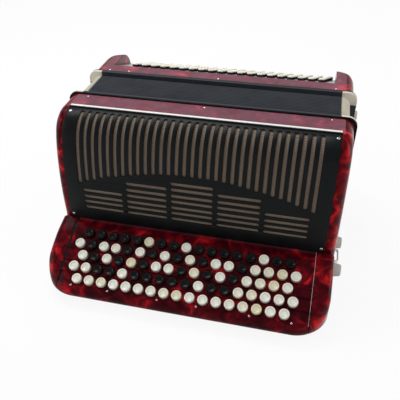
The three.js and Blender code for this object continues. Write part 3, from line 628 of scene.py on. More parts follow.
def facing(profile, sides, place, normal):
    points, faces = turned(profile, sides)
    turn = Vector((0.0, 0.0, 1.0)).rotation_difference(Vector(normal)).to_matrix()
    return [tuple(turn @ Vector(point) + Vector(place)) for point in points], faces


corner_screw_x, corner_screw_top, corner_screw_foot = 184.5, 9.0, 7.0
screw_head = [(0.3, -0.5), (0.75, -0.5), (0.85, 0.32), (1.3, 0.38), (1.9, 0.2), (2.2, -0.15), (2.2, -1.5)]
pin_head = [(0.2, 0.55), (0.8, 0.45), (1.3, 0.1), (1.4, -1.5)]
metal = Finish("bright_metal", {"Metallic": 1.0})
metal.mottle((700.0, 2.0), (0.64, 0.64, 0.66), (0.72, 0.72, 0.73), 0.20, 0.10, (1.0, 1.0, 0.1))


def fasteners(name, parts, body):
    fit(piece(name, *gathered(parts), metal), body)


grille_corners = []
for s in (corner_screw_top, front_end - corner_screw_foot):
    for x in (-corner_screw_x, corner_screw_x):
        place = Vector(on_front(x, s, 0.0))
        grille_corners.append(facing(screw_head, 14, place, Vector(on_front(x, s, 1.0)) - place))
fasteners("grille_screws", grille_corners, "treble")

# Grille cloth: thin brown cloth stretched behind the slots and glued to the back of the grille's seat.
cloth_half = 181.7
cloth_top, cloth_foot = 5.1, down_front(18.9)
cloth_inset = 2.2
cloth_thick = 0.5
cloth_steps = 60
weave = Finish("grille_cloth", {"Sheen Weight": 0.3})
weave_place = weave.place()
thread = weave.bands(weave_place, "X", 190.0, 0.6) * weave.bands(weave_place, "Z", 190.0, 0.6)
fade = weave.noise(weave_place, 14.0, 3.0)
weave_colour = weave.mix(thread, (0.095, 0.062, 0.040), (0.34, 0.25, 0.175))
weave.dress(weave.mix(fade * 0.4, weave_colour, (0.30, 0.24, 0.185)),
            0.75 + 0.2 * thread, thread, 0.5, 0.0002)
cloth_rings = []
for k in range(cloth_steps + 1):
    s = cloth_top + (cloth_foot - cloth_top) * k / cloth_steps
    edges = corners(-cloth_half, cloth_half, -cloth_inset, -cloth_inset - cloth_thick)
    cloth_rings.append([on_front(x, s, out) for x, out in edges])
grille_cloth = piece("grille_cloth_sheet", *loft(cloth_rings), weave)
fit(grille_cloth, "treble", "grille_cloth")

# Trim strip: a white celluloid band let into the casing above the grille, its edges eased.
# A narrower black band is bonded along its front edge.
trim_foot, trim_top, band_top = 155.8, 160.8, 160.3
trim_rear, trim_joint, band_front = 90.5, 86.3, 84.3
trim_outline = rounded(corners(trim_joint, trim_rear, trim_foot, trim_top), [0.2, 0.2, 0.9, 0.9], 3)
band_outline = rounded(corners(band_front, trim_joint, trim_foot, band_top), [0.2, 0.2, 0.3, 0.7], 3)
trim = Finish("white_trim", {"Coat Weight": 0.4, "Coat Roughness": 0.1})
trim.mottle((45.0, 4.0), (0.92, 0.92, 0.90), (0.85, 0.84, 0.80), 0.24, 0.15)
trim_parts = [bar(outline, -grille_half, grille_half) for outline in (trim_outline, band_outline)]
trim_strip = piece("trim_strip", *gathered(trim_parts), trim)
trim_strip.data.materials.append(black.material)
trim_shades = [shade for shade, (_, faces) in enumerate(trim_parts) for _ in faces]
trim_strip.data.polygons.foreach_set("material_index", trim_shades)
fit(trim_strip, "treble", "grille_trim_strip")

# Fingerboard: five stepped treads of pearl celluloid over wood, with a rounded lip in front.
# Each tread is drilled for its row of buttons; six screws hold the lip. A strip of painted shadow ends the
# steps on the left in place of a gap, and a pale line of painted highlight ends them on the right.
pitch = 18.5
row_lead_y, row_lead_z = 15.1256, 8.4749
row_crown = 1.7
tread_angle = 22.0
row_counts = [17, 18, 17, 18, 17]
row_shift = 1.75
button_radius = 7.3
button_rise = 5.5
board_half = 179.0
board_thick = 4.0
lip_y, lip_z, lip_radius = -64.5024, -53.5, 11.0
keyboard_low_z = lip_z - lip_radius
plan_radius = 48.0
corner_x = body_half - plan_radius
corner_y = lip_y - lip_radius + plan_radius
corner_from = -60.0
step_rear = (28.0, 1.6)
hollow_half = 174.0
hollow_front, hollow_rear = -66.0, 34.0
painted_gap_shadow, painted_edge_highlight = -175.4, 178.75
tread = radians(tread_angle)
chord = atan2(row_lead_z, row_lead_y)
tread_reach = hypot(row_lead_y, row_lead_z) / 2
lip_start, lip_end = 90 + degrees(chord), 270


def row_point(row, along, up):
    bow = row_crown * (1 - ((row - 2) / 2) ** 2)
    y = -bow * sin(chord) - row * row_lead_y
    z = bow * cos(chord) - row * row_lead_z
    return (y + along * cos(tread) - up * sin(tread),
            z + along * sin(tread) + up * cos(tread))


def step_pair(row, up):
    return [row_point(row, tread_reach, up), row_point(row, -tread_reach, up)]


def lip_arc(steps):
    return arc(lip_y, lip_z, lip_radius, lip_start, lip_end, steps)


def round_corner(x, y):
    over = abs(x) - corner_x
    if over <= 0 or y > corner_from:
        return y
    return corner_y - sqrt((corner_y - y) ** 2 - over ** 2)


def parted(target, *cuts):
    shape = opened(target.data)
    for axis, place in cuts:
        normal = [float(axis == name) for name in "xyz"]
        split(shape, home([[place * way for way in normal]])[0], normal, 1e-6)
    closed(shape, target.data)
    sharpen(target.data)


def clad(target, chosen, finish):
    target.data.materials.append(finish.material)
    for face in target.data.polygons:
        if chosen(*local(face.center)):
            face.material_index = len(target.data.materials) - 1


def shifted(points, x):
    return [(px + x, py, pz) for px, py, pz in points]


step_corners, step_radii = [(step_rear[0], keyboard_low_z), step_rear], [0.0, 1.0]
hollow = [(hollow_rear, row_point(0, tread_reach, -button_rise - board_thick)[1])]
for row in range(5):
    step_corners += step_pair(row, -button_rise)
    step_radii += [0.35, 1.1]
    hollow += step_pair(row, -button_rise - board_thick)
hollow += [(hollow_front, hollow[-1][1] - 4.0), (hollow_front, back_z - 6.0), (hollow_rear, back_z - 6.0)]
step_top = rounded(step_corners + [lip_arc(1)[0]], step_radii + [0.0])
step_outline = step_top + lip_arc(20)[1:]
board_rings = []
board_stations = [corner_x + (board_half - corner_x) * sin(pi / 2 * k / 10) for k in range(11)]
for x in [-x for x in board_stations[::-1]] + board_stations:
    board_rings.append([(x, round_corner(x, y), z) for y, z in step_outline])
fingerboard = piece("fingerboard_steps", *loft(board_rings), pearl)
carve(fingerboard, [bar(hollow, -hollow_half, hollow_half)])
bore_points, bore_faces = turned([(button_radius + 0.4, -14.0), (button_radius + 0.4, -1.0)], 28)
row_places = []
bores = []
for row, count in enumerate(row_counts):
    row_places.append([(i - (count - 1) / 2) * pitch - row_shift for i in range(count)])
    for x in row_places[row]:
        bores.append((tilted(shifted(bore_points, x), *row_point(row, 0.0, 0.0), tread_angle), bore_faces))
carve(fingerboard, [gathered(bores)])
neat(fingerboard)
parted(fingerboard, ("x", painted_gap_shadow), ("x", painted_edge_highlight), ("y", hollow_front))
# Painted shadow on the left end of the steps, painted highlight on the right.
clad(fingerboard, lambda x, y, z: x < painted_gap_shadow and y > hollow_front, black)
clad(fingerboard, lambda x, y, z: x > painted_edge_highlight and y > hollow_front, trim)
fit(fingerboard, "treble", "fingerboard")

lip_edge = Vector(row_point(4, -tread_reach, -button_rise))
lip_run = (Vector(lip_arc(1)[0]) - lip_edge).normalized()
screw_y, screw_z = lip_edge + lip_run * 1.4
lip_head = [(radius * 0.65, height) for radius, height in screw_head]
lip_screw_places = (-157.0, -101.0, -28.0, 28.0, 101.0, 157.0)
fasteners("lip_screws", [facing(lip_head, 14, (x, screw_y, screw_z), (0.0, lip_run.y, -lip_run.x))
                         for x in lip_screw_places], "treble")

# Fingerboard end caps: solid blocks under the same celluloid, rolled over at the ends and the front corners.
# Each is screwed on against the stepped board, with a fine joint line between them.
cap_inner = 179.3
cap_first_y = 27.7
cap_front, cap_rear = -90.0, 40.0
cap_roll, corner_roll = 8.0, 3.0
cap_blur = 1.5
groove_width, groove_depth = 0.9, 0.7
side_steps, corner_steps = 14, 20
corner_turn = acos((cap_inner - corner_x + 0.01) / plan_radius)


def eased(share):
    return share * share * (3 - 2 * share)


def run_on(end, before, y):
    slope = (end[1] - before[1]) / (end[0] - before[0])
    return y, end[1] + (y - end[0]) * slope


cap_line = [step_rear] + [row_point(row, 0.0, -button_rise) for row in range(5)] + [lip_arc(1)[0]]
cap_line.insert(0, run_on(cap_line[0], cap_line[1], cap_rear))
cap_line.append(run_on(cap_line[-1], cap_line[-2], cap_front))


def cap_height(y):
    total = 0.0
    for k in range(-4, 5):
        at = min(max(y + cap_blur * k, cap_front), cap_rear)
        for (y1, z1), (y0, z0) in zip(cap_line, cap_line[1:]):
            if y0 <= at <= y1:
                total += z0 + (z1 - z0) * (at - y0) / (y1 - y0)
                break
    return total / 9


def cap_section(x, y, nx, ny, depth, share):
    radius = cap_roll + corner_roll * share
    drop = cap_roll + (cap_height(y) - lip_z - cap_roll) * share
    spread = [depth, max(depth - groove_width, depth * 0.99)]
    spread += [depth * (1 - sin(pi / 2 * k / 16)) for k in range(1, 17)]
    top, low = [], []
    for d in spread:
        bend = 1 - sqrt(max(0.0, 1 - max(0.0, 1 - d / radius) ** 2))
        groove = groove_depth * max(0.0, 1 - (depth - d) / groove_width) if depth > 4.0 else 0.0
        top.append((x + nx * d, y + ny * d, cap_height(y + ny * d) - drop * bend - groove))
        low.append((x + nx * d, y + ny * d, keyboard_low_z + radius * bend))
    middle = [tuple(Vector(top[-1]).lerp(Vector(low[-1]), k / 3)) for k in (1, 2)]
    return top + middle + low[::-1]


cap_rings = []
for k in range(side_steps + 1):
    y = cap_first_y + (corner_y - cap_first_y) * k / side_steps
    cap_rings.append(cap_section(body_half, y, -1.0, 0.0, body_half - cap_inner, 0.0))
for k in range(1, corner_steps + 1):
    turn = corner_turn * k / corner_steps
    depth = plan_radius - (cap_inner - corner_x) / cos(turn)
    x, y = corner_x + plan_radius * cos(turn), corner_y - plan_radius * sin(turn)
    cap_rings.append(cap_section(x, y, -cos(turn), sin(turn), max(depth, 0.05), eased(k / corner_steps)))
cap_points, cap_faces = loft(cap_rings)
for side, name in ((-1, "left"), (1, "right")):
    cap = piece(f"fingerboard_cap_{name}", [(side * x, y, z) for x, y, z in cap_points], cap_faces, pearl)
    fit(cap, "treble", f"fingerboard_end_cap_{name}")

# Treble buttons: turned plastic, ivory-coloured or black, each slightly dished inside a rounded rim.
# A row stands on one rail under the board and is pressed along the buttons' axis.
white_buttons = [
    (5, 8, 14),
    (0, 2, 3, 5, 7, 9, 11, 12, 14, 15, 16, 17),
    (0, 2, 4, 6, 7, 9, 11, 13, 14, 15, 16),
    (0, 1, 4, 10, 13, 14, 15, 16, 17),
    tuple(range(17)),
]
button_sides = 24
button_rail = (7.7, -14.9, -12.5, 0.6, 0)
button_profile = [(0.4, -0.95), (2.2, -0.88), (3.8, -0.62), (4.8, -0.26), (5.4, -0.04), (5.9, -0.03),
                  (6.45, -0.25), (6.9, -0.8), (7.2, -1.6), (7.3, -2.6), (7.3, -12.6)]
# Darkening for each ring of the profile: partly grime, partly painted shade in the dish's ring and down the
# shaded sides.
button_grime_and_shade = [0.10, 0.12, 0.35, 0.50, 0.10, 0.0, 0.05, 0.35, 0.8, 1.0, 1.0]
ivory = Finish("ivory_buttons", {"Coat Weight": 0.5, "Coat Roughness": 0.08, "IOR": 1.5})
ivory_age, ivory_grime_and_shade = ivory.painted("age"), ivory.painted("rim")
ivory_cloud = ivory.noise(ivory.place(), 120.0, 3.0)
ivory_clean = ivory.mix(ivory_age, (0.90, 0.89, 0.79), (0.78, 0.71, 0.44))
# The ivory darkens towards brown by those amounts, which are grime and painted shade together.
ivory.dress(ivory.mix(ivory_grime_and_shade * (0.25 + 0.5 * ivory_cloud), ivory_clean, (0.11, 0.088, 0.055)),
            0.20 + 0.16 * ivory_cloud)
jet = Finish("black_buttons", {"Specular IOR Level": 0.09})
jet.mottle((140.0, 4.0), (0.002, 0.002, 0.0025), (0.006, 0.006, 0.007), 0.16, 0.2)
jet.wear({"Coat Weight": 0.35 * jet.painted("rim")})


def marked(made, **marks):
    for name, values in marks.items():
        layer = made.data.attributes.new(name, "FLOAT", "POINT")
        layer.data.foreach_set("value", values)


def button_row(name, profile, sides, grime_and_shade, tops, rail, seat):
    points, faces = turned(profile, sides)
    half, low, high, radius, rail_shade = rail
    rail_outline = rounded(corners(-half, half, low, high), [radius] * 4, 2)
    rail_bar = bar(rail_outline, tops[0][0] - half, tops[-1][0] + half)
    parts = [(shifted(points, x), faces) for x, _, _ in tops] + [rail_bar]
    rest = len(rail_bar[0])
    row_points, row_faces = gathered(parts)
    made = piece(name, tilted(row_points, *seat), row_faces, ivory)
    made.data.materials.append(jet.material)
    shades = [shade for _, _, colours in tops for shade in colours] + [rail_shade] * len(rail_bar[1])
    made.data.polygons.foreach_set("material_index", shades)
    marked(made, age=[age for _, age, _ in tops for _ in points] + [0.0] * rest,
           rim=[amount for amount in grime_and_shade for _ in range(sides)] * len(tops) + [1.0] * rest)
    return made


button_faces = (len(button_profile) - 1) * button_sides + 2
for row, places in enumerate(row_places):
    tops = [(x, (((i * 37 + row * 53) % 17) / 17) ** 3, [0 if i in white_buttons[row] else 1] * button_faces)
            for i, x in enumerate(places)]
    buttons = button_row(f"treble_buttons_{row + 1}", button_profile, button_sides, button_grime_and_shade, tops,
                         button_rail, (*row_point(row, 0.0, 0.0), tread_angle))
    row_name = f"treble_button_row_{row + 1}"
    fit(buttons, row_name, row_name)

# Bellows frames: wooden rings in black lacquer that carry the bellows and seal against each casing.
# They stand a little proud all round. The bellows' cloth is drawn over their inner half, with the corner
# leather over its corners, and small pins through the casings' strips hold them.
frame_half = 209.5
frame_top = 162.0
frame_opening = 183.5
frame_width = 26.0
frame_corner = 14.0
middle_z = 44.0
lap_x, lap_z = 187.0, 99.0


def upright(name, outlines, y0, y1, edge, finish):
    points, faces = settle(plate(outlines, y1 - y0, edge, 2))
    return piece(name, [(u, (y0 + y1) / 2 - w, v) for u, v, w in points], faces, finish)


lacquer = Finish("gloss_black", {"Specular IOR Level": 0.06})
lacquer.mottle((50.0, 5.0, 0.6), (0.002, 0.002, 0.003), (0.006, 0.006, 0.007), 0.22, 0.18)
cloth = Finish("bellows_cloth", {"Specular IOR Level": 0.15})
cloth_place = cloth.place()
cloth_wear = cloth.noise(cloth_place, 34.0, 5.0, 0.6)
cloth_ridge = cloth.painted("ridge")
cloth_colour = cloth.mix(cloth_wear, (0.022, 0.026, 0.032), (0.042, 0.047, 0.056))
# The cloth is lighter along the outer fold crests.
cloth.dress(cloth.mix(cloth_ridge * (0.15 + 0.4 * cloth_wear), cloth_colour, (0.12, 0.13, 0.15)),
            0.42 + 0.25 * cloth_wear, cloth.bands(cloth_place, "X", 150.0, 1.5), 0.25, 0.0001)
gusset = Finish("corner_leather", {"Sheen Weight": 0.1})
gusset_place = gusset.place()
gusset_grain = gusset.noise(gusset_place, 420.0, 3.0)
gusset_stain = gusset.noise(gusset_place, 50.0, 4.0)
gusset.dress(gusset.mix(gusset_stain, (0.80, 0.75, 0.64), (0.58, 0.52, 0.42)),
             0.5 + 0.2 * gusset_grain, gusset_grain, 0.3, 0.0002)
ring_outlines = [round_box(-half, half, back_z + width, frame_top - width, frame_corner)
                 for half, width in ((frame_half, 0.0), (frame_opening, frame_width))]
for name, y0, y1, tape_y, way in (("treble", 122.2, 130.0, 125.6, 1.0), ("bass", 198.0, 205.8, 202.4, -1.0)):
    ring = upright(f"{name}_frame_ring", ring_outlines, y0, y1, 0.8, lacquer)
    parted(ring, ("y", tape_y), ("x", -lap_x), ("x", lap_x), ("z", middle_z - lap_z), ("z", middle_z + lap_z))
    clad(ring, lambda x, y, z: (y - tape_y) * way > 0, cloth)
    clad(ring, lambda x, y, z: (y - tape_y) * way > 0 and abs(x) > lap_x and abs(z - middle_z) > lap_z,
         gusset)
    fit(ring, name, f"{name}_bellows_frame")
strip_pins = {"treble": (117.5, (-175.0, 0.0, 175.0)), "bass": (212.0, (-178.0, -146.0, 0.0, 178.0))}
for name, (y, places) in strip_pins.items():
    pins = [facing(pin_head, 14, (x, y, top_z), (0.0, 0.0, 1.0)) for x in places]
    fasteners(f"{name}_strip_pins", pins, name)

# Bellows: sixteen card folds in the same charcoal book cloth, with pale leather let in at the corners.
# Each fold is its own strip.
fold_count = 16
fold_depth = 3.0
fold_thick = 1.0
bellows_half = 200.0
bellows_front, bellows_rear = 130.2, 197.8
bellows_low, bellows_high, bellows_corner = -68.0, 156.0, 12.0
gusset_reach = 13.0
arc_points = 9


def share_where(value):
    low, high = 0.0, 1.0
    for _ in range(50):
        middle = (low + high) / 2
        if eased(middle) < value:
            low = middle
        else:
            high = middle
    return (low + high) / 2


fold_bends = [(0.0, 1.0), (0.22, 0.52), (0.4, 0.1), (0.5, 0.0), (0.6, 0.1), (0.78, 0.52), (1.0, 1.0)]
fold_profile = [(t, fold_depth * depth) for t, depth in fold_bends]
for i in range(fold_count):
    y0 = bellows_front + (bellows_rear - bellows_front) * i / fold_count
    y1 = bellows_front + (bellows_rear - bellows_front) * (i + 1) / fold_count
    section = [(y0 + (y1 - y0) * t, inset, 1.0 if inset < 0.5 else 0.0) for t, inset in fold_profile]
    section += [(y0 + (y1 - y0) * t, inset + fold_thick, 0.0) for t, inset in fold_profile[::-1]]
    rings, ridge = [], []
    for y, inset, on_crest in section:
        around = round_box(-bellows_half + inset, bellows_half - inset, bellows_low + inset,
                           bellows_high - inset, bellows_corner, arc_points - 1)
        ring = []
        for c in range(4):
            ring += around[c * arc_points:(c + 1) * arc_points]
            (u0, v0), (u1, v1) = around[(c + 1) * arc_points - 1], around[(c + 1) % 4 * arc_points]
            margin = gusset_reach / hypot(u1 - u0, v1 - v0)
            for share in [margin - 0.03] + [k / 8 for k in range(1, 8)] + [1 - margin + 0.03]:
                ring.append((u0 + (u1 - u0) * share, v0 + (v1 - v0) * share))
        rings.append([(u, y, v) for u, v in ring])
        ridge += [on_crest] * len(ring)
    points, faces = loft(rings + [rings[0]], ends=False)
    count = len(rings[0])
    points = points[:-count]
    faces = [tuple(k % len(points) for k in face) for face in faces]
    fold = piece(f"bellows_fold_{i + 1:02d}", points, faces, cloth)
    fold.data.materials.append(gusset.material)
    for face in fold.data.polygons:
        x, _, z = local(face.center)
        near = max(bellows_half - abs(x), bellows_high - middle_z - abs(z - middle_z))
        face.material_index = 1 if near < gusset_reach else 0
    marked(fold, ridge=ridge)
    first, last = share_where(i / fold_count), share_where((i + 1) / fold_count)
    spread = (y1 - y0) / (last - first)
    start = y0 - first * spread
    home([(0.0, start, middle_z)])[0]
    home([(0.0, start + spread, middle_z)])[0]
    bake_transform(fold)
    if i == 0:
        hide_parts("bellows")

# Bass casing: a wooden box in red pearl celluloid, rounded over at the back and at both ends.
# Two horns stand either side of the sunk button board; a cover closes the bass end.
bass_front_y, bass_rear_y = 206.0, 303.0
bass_round = 35.0
bass_corner = 30.0
horn_inner = 177.5
board_y0 = 231.0
board_slope = 20.0
board_run = 76.6202
slope = radians(board_slope)
wheel_y, wheel_z = 279.0, 28.0
air_x, air_z = -178.5, 82.0
air_bore = 6.4
cover_half, cover_low, cover_high, cover_corner = 180.0, -58.0, 96.0, 10.0
cover_thick = 3.0
cover_play = 0.3
cover_rim = 6.0
board_bed = -3.3
notch_over, notch_tail = 8.0, 6.0
hub_radius, hub_bore = 5.0, 5.4


def board_point(along, up):
    return (board_y0 + along * cos(slope) + up * sin(slope),
            top_z - 1.5 - along * sin(slope) + up * cos(slope))


def bass_ring(x):
    distance = body_half - abs(x)
    up, back = roll(distance, end_roll), roll(distance, bass_corner)
    top, low, rear = top_z - up, back_z + up, bass_rear_y - back
    ring = [(bass_front_y, low)] + arc(rear - 4, low + 4, 4, -90, 0, 4)
    ring += arc(rear - bass_round, top - bass_round, bass_round, 0, 90, 16) + [(bass_front_y, top)]
    return [(x, y, z) for y, z in ring]


bass_steps = [0.0, 0.3, 0.9, 1.8, 3.0, 4.6, 6.8, 9.2, 12.0, 15.0, 19.0, 24.0, 30.0]
bass_stations = [step - body_half for step in bass_steps] + [body_half - step for step in bass_steps[::-1]]
bass_casing = piece("bass_casing_shell", *loft([bass_ring(x) for x in bass_stations]), pearl)
notch = [(board_y0, top_z + notch_over), board_point(0, 0), board_point(0, board_bed),
         board_point(board_run + notch_tail, board_bed),
         (board_point(board_run + notch_tail, 0)[0], top_z + notch_over)]
ceiling = board_point(board_run, board_bed)[1] - wall
back = bass_rear_y - 9.0
front = bass_front_y - 8.0
upper = [(front, ceiling - 6), (back, ceiling - 6), (back, ceiling), (board_y0 - wall, top_z - wall),
         (front, top_z - wall)]
opening = [board_point(along, up) for along, up in corners(2.5, board_run - 1.5, 6, -24)]
cover_seat = round_box(-cover_half - cover_play, cover_half + cover_play, cover_low - cover_play,
                       cover_high + cover_play, cover_corner + cover_play)


def along_y(outline, y0, y1):
    return loft([[(x, y, z) for x, z in outline] for y in (y0, y1)])


def rod(radius, axis, start, end, y_or_x, z):
    ring = circle(radius, 24)
    if axis == "x":
        return loft([[(x, y_or_x + u, z + v) for u, v in ring] for x in (start, end)])
    return loft([[(y_or_x + u, y, z + v) for u, v in ring] for y in (start, end)])


carve(bass_casing, [
    bar(notch, -horn_inner, horn_inner),
    block(wall - body_half, body_half - wall, front - 2.0, bass_rear_y - bass_corner, back_z + wall, ceiling),
    block(bass_corner - body_half, body_half - bass_corner, front - 2.0, back, back_z + wall, ceiling),
    bar(upper, wall - horn_inner, horn_inner - wall),
    bar(opening, 3 - horn_inner, horn_inner - 3),
    along_y(cover_seat, bass_rear_y - cover_thick - 0.2, bass_rear_y + 10),
    rod(air_bore, "y", bass_rear_y - 15, bass_rear_y + 9, air_x, air_z),
    block(cover_rim - cover_half, cover_half - cover_rim, bass_rear_y - 18, bass_rear_y + 6,
          cover_low + cover_rim, cover_high - cover_rim),
    rod(hub_bore, "x", -212.0, -192.5, wheel_y, wheel_z),
])
neat(bass_casing)
soften(bass_casing, lambda x, y, z: abs(abs(x) - horn_inner) < 0.05
       and z > board_point((y - board_y0) / cos(slope), 0.5)[1], 2.2)
fit(bass_casing, "bass", "bass_casing")

# Bass button board: a sheet of grey anodised aluminium with 120 holes in slanting rows.
# It lies sunk between the horns and is held by its edges.
bass_rows, bass_columns = 6, 20
bass_pitch = 15.9
bass_row_gap = 11.0
bass_slant = 2.8
bass_first_x = -146.8
first_gap = 13.5
hole_radius = 5.0
board_sheet = 3.0
sheet_half, sheet_play = 177.2, 0.3


def bass_x(row, column):
    return bass_first_x + column * bass_pitch + row * bass_slant


holes = circle(hole_radius, 20)
board_cuts = [corners(-sheet_half, sheet_half, sheet_play - first_gap, board_run - sheet_play - first_gap)]
for row in range(bass_rows):
    for column in range(bass_columns):
        board_cuts.append([(bass_x(row, column) + u, row * bass_row_gap + v) for u, v in holes])
satin = Finish("bass_board", {"Metallic": 0.7})
satin_brush = satin.noise(satin.place((0.06, 1.0, 1.0)), 1400.0, 3.0)
satin_mark = satin.noise(satin.place(), 40.0, 4.0)
satin.dress(satin.mix(satin_mark, (0.50, 0.51, 0.53), (0.38, 0.39, 0.41)),
            0.34 + 0.14 * satin_brush, satin_brush, 0.12, 0.0001)
board_flat, board_faces = settle(plate(board_cuts, board_sheet, 0.25))
board_points = tilted([(u, v, w - board_sheet / 2) for u, v, w in board_flat],
                      *board_point(first_gap, 0.0), -board_slope)
bass_board = piece("bass_board_sheet", board_points, board_faces, satin)
fit(bass_board, "bass", "bass_button_board")

# Bass buttons: small domed ivory-coloured studs on stems coloured black, twenty to a row; the black stems and
# darkened lower sides are painted shade between the studs.
# Each row stands on one dark rail below the board.
stud_profile = [(0.3, 6.5), (1.8, 6.42), (3.0, 6.15), (3.9, 5.6), (4.4, 4.9), (4.6, 3.9), (4.6, -9.0)]
stud_sides = 16
stud_rail = (5.0, -11.0, -8.8, 0.4, 1)
# The caps' lower sides are darkened and the stems coloured black, as painted shade between the studs.
stud_grime_and_shade = [0.6 if height < 4.5 else 0.1 for _, height in stud_profile]
stud_stem_shade = [0] * ((len(stud_profile) - 2) * stud_sides) + [1] * stud_sides + [0, 0]
for row in range(bass_rows):
    tops = [(bass_x(row, column), (((column * 29 + row * 41) % 13) / 13) ** 2 * 0.6, stud_stem_shade)
            for column in range(bass_columns)]
    seat = (*board_point(first_gap + row * bass_row_gap, 0.0), -board_slope)
    studs = button_row(f"bass_buttons_{row + 1}", stud_profile, stud_sides, stud_grime_and_shade, tops,
                       stud_rail, seat)
    row_name = f"bass_button_row_{row + 1}"
    fit(studs, row_name, row_name)

# Bass end cover: a black satin plate let into the casing and held by six screws.
# Two rows of upright slots let the sound out; the air button comes through its upper corner.
cover_slots = 12
cover_slot_pitch, cover_slot_half = 24.0, 3.0
cover_cuts = [round_box(-cover_half, cover_half, cover_low, cover_high, cover_corner)]
for low, high in ((-48.0, -15.0), (71.0, 86.0)):
    for i in range(cover_slots):
        x = (i - (cover_slots - 1) / 2) * cover_slot_pitch
        cover_cuts.append(round_box(x - cover_slot_half, x + cover_slot_half, low, high, 2.7, 6))
satin_black = Finish("cover_black", {"Coat Weight": 0.2, "Coat Roughness": 0.2})
satin_black.mottle((60.0, 5.0), (0.012, 0.012, 0.013), (0.026, 0.026, 0.028), 0.34, 0.2)
cover = upright("bass_cover_plate", cover_cuts, bass_rear_y - cover_thick, bass_rear_y, 0.5, satin_black)
carve(cover, [rod(air_bore, "y", bass_rear_y - 9.0, bass_rear_y + 9.0, air_x, air_z)])
neat(cover)
fit(cover, "bass", "bass_end_cover")
cover_head = [(0.3, -0.6), (0.8, -0.6), (0.9, 0.1), (1.4, 0.14), (2.1, 0.0), (2.4, -0.3), (2.4, -1.6)]
fasteners("cover_screws", [facing(cover_head, 14, (x, bass_rear_y, z), (0.0, 1.0, 0.0))
                           for x in (-150.0, 0.0, 172.0) for z in (-50.0, 88.0)], "bass")

# Air valve button: a turned ivory-coloured knob by the player's left thumb.
air_profile = [(0.4, 7.0), (2.8, 6.85), (4.6, 6.3), (5.6, 5.2), (6.0, 3.8), (6.0, -8.0)]
air_turned = facing(air_profile, 28, (air_x, bass_rear_y, air_z), (0.0, 1.0, 0.0))
air_button = piece("air_button", *air_turned, ivory)
air_points = len(air_turned[0])
marked(air_button, age=[0.3] * air_points, rim=[0.2] * air_points)
fit(air_button, "air_valve", "air_valve_button")

# Hand strap: a broad band of black leather bowed over the bass end, stitched along both edges.
# Its ends are held flat under two metal clips.
strap_half = 162.0
strap_end = 176.0
strap_mid_z = 28.0
strap_width = 68.0
strap_thick = 4.0
strap_gap, strap_bow = 0.3, 31.7
strap_steps, strap_ribs = 72, 12


def strap_y(x):
    share = min(max((x + strap_half) / (2 * strap_half), 0.0), 1.0)
    return bass_rear_y + strap_gap + strap_bow * sin(share * pi) ** 0.8


leather = Finish("strap_leather", {"Specular IOR Level": 0.5})
leather_place = leather.place()
leather_grain = leather.node("ShaderNodeTexVoronoi", {"feature": "F1"},
                             {"Vector": leather_place, "Scale": 650.0}, "Distance")
leather_worn = leather.noise(leather_place, 28.0, 5.0, 0.6)
leather.dress(leather.mix(leather_worn, (0.012, 0.010, 0.009), (0.050, 0.040, 0.034)),
              0.40 + 0.25 * leather_worn, leather_grain, 0.35, 0.0003)
strap_edge = strap_width / 2
strap_section = [(-strap_edge, 1.2), (-strap_edge, 2.6), (-strap_edge + 0.7, 3.35)]
for k in range(1, strap_ribs):
    v = -strap_edge + strap_width * k / strap_ribs
    strap_section.append((v, strap_thick - 0.5 * abs(2 * k / strap_ribs - 1) ** 6))
strap_section += [(strap_edge - 0.7, 3.35), (strap_edge, 2.6), (strap_edge, 1.2),
                  (strap_edge - 1.0, 0.0), (-strap_edge + 1.0, 0.0)]
strap_rings = []
for k in range(strap_steps + 1):
    x = -strap_end + 2 * strap_end * k / strap_steps
    strap_rings.append([(x, strap_y(x) + out, strap_mid_z + v) for v, out in strap_section])
strap = piece("leather_strap", *loft(strap_rings), leather)
fit(strap, "bass", "hand_strap")

thread_radius = 0.45
stitch_line = 29.5
stitch_start, stitch_pitch, stitch_count = -158.0, 4.8, 66
stitch_run = [(0, 0.3), (0.5, 0.0), (1.5, 0.0), (2.5, 0.0), (3, 0.3)]
stitch = Finish("waxed_thread")
stitch.mottle((2500.0, 2.0), (0.30, 0.27, 0.22), (0.45, 0.42, 0.35), 0.6, 0.2)
stitches = []
for edge in (-stitch_line, stitch_line):
    for k in range(stitch_count):
        x = stitch_start + stitch_pitch * k
        rings = []
        for run, sink in stitch_run:
            y = strap_y(x + run) + strap_thick - 0.5 - sink
            rings.append([(x + run, y + u, strap_mid_z + edge + v) for u, v in circle(thread_radius, 6)])
        stitches.append(loft(rings))
fit(piece("strap_stitches", *gathered(stitches), stitch), "bass")

clip_start, clip_end, clip_sheet = 162.0, 178.3, 2.0
clip_half = 34.0
clip_edge = 0.6
clip_low = bass_rear_y + strap_gap
clip_front = clip_low + 0.3 + strap_thick
clip_outer, clip_back = clip_end + clip_sheet, clip_front + clip_sheet
clip_outline = [(clip_start, clip_front), (clip_end, clip_front), (clip_end, clip_low),
                (clip_outer, clip_low), (clip_outer, clip_back), (clip_start, clip_back)]
clip_outline = rounded(clip_outline, [0.5, 0.8, 0.3, 0.3, 1.6, 0.9])
clip_stations = [(clip_edge, -clip_half), (0.0, clip_edge - clip_half),
                 (0.0, clip_half - clip_edge), (clip_edge, clip_half)]
for side, name in ((-1, "upper"), (1, "lower")):
    rings = [[(side * min(max(x, clip_start + step), clip_outer - step), y, strap_mid_z + z)
              for x, y in clip_outline] for step, z in clip_stations]
    clip = piece(f"strap_clip_{name}_bent", *loft(rings), metal)
    fit(clip, "bass", f"strap_clip_{name}")

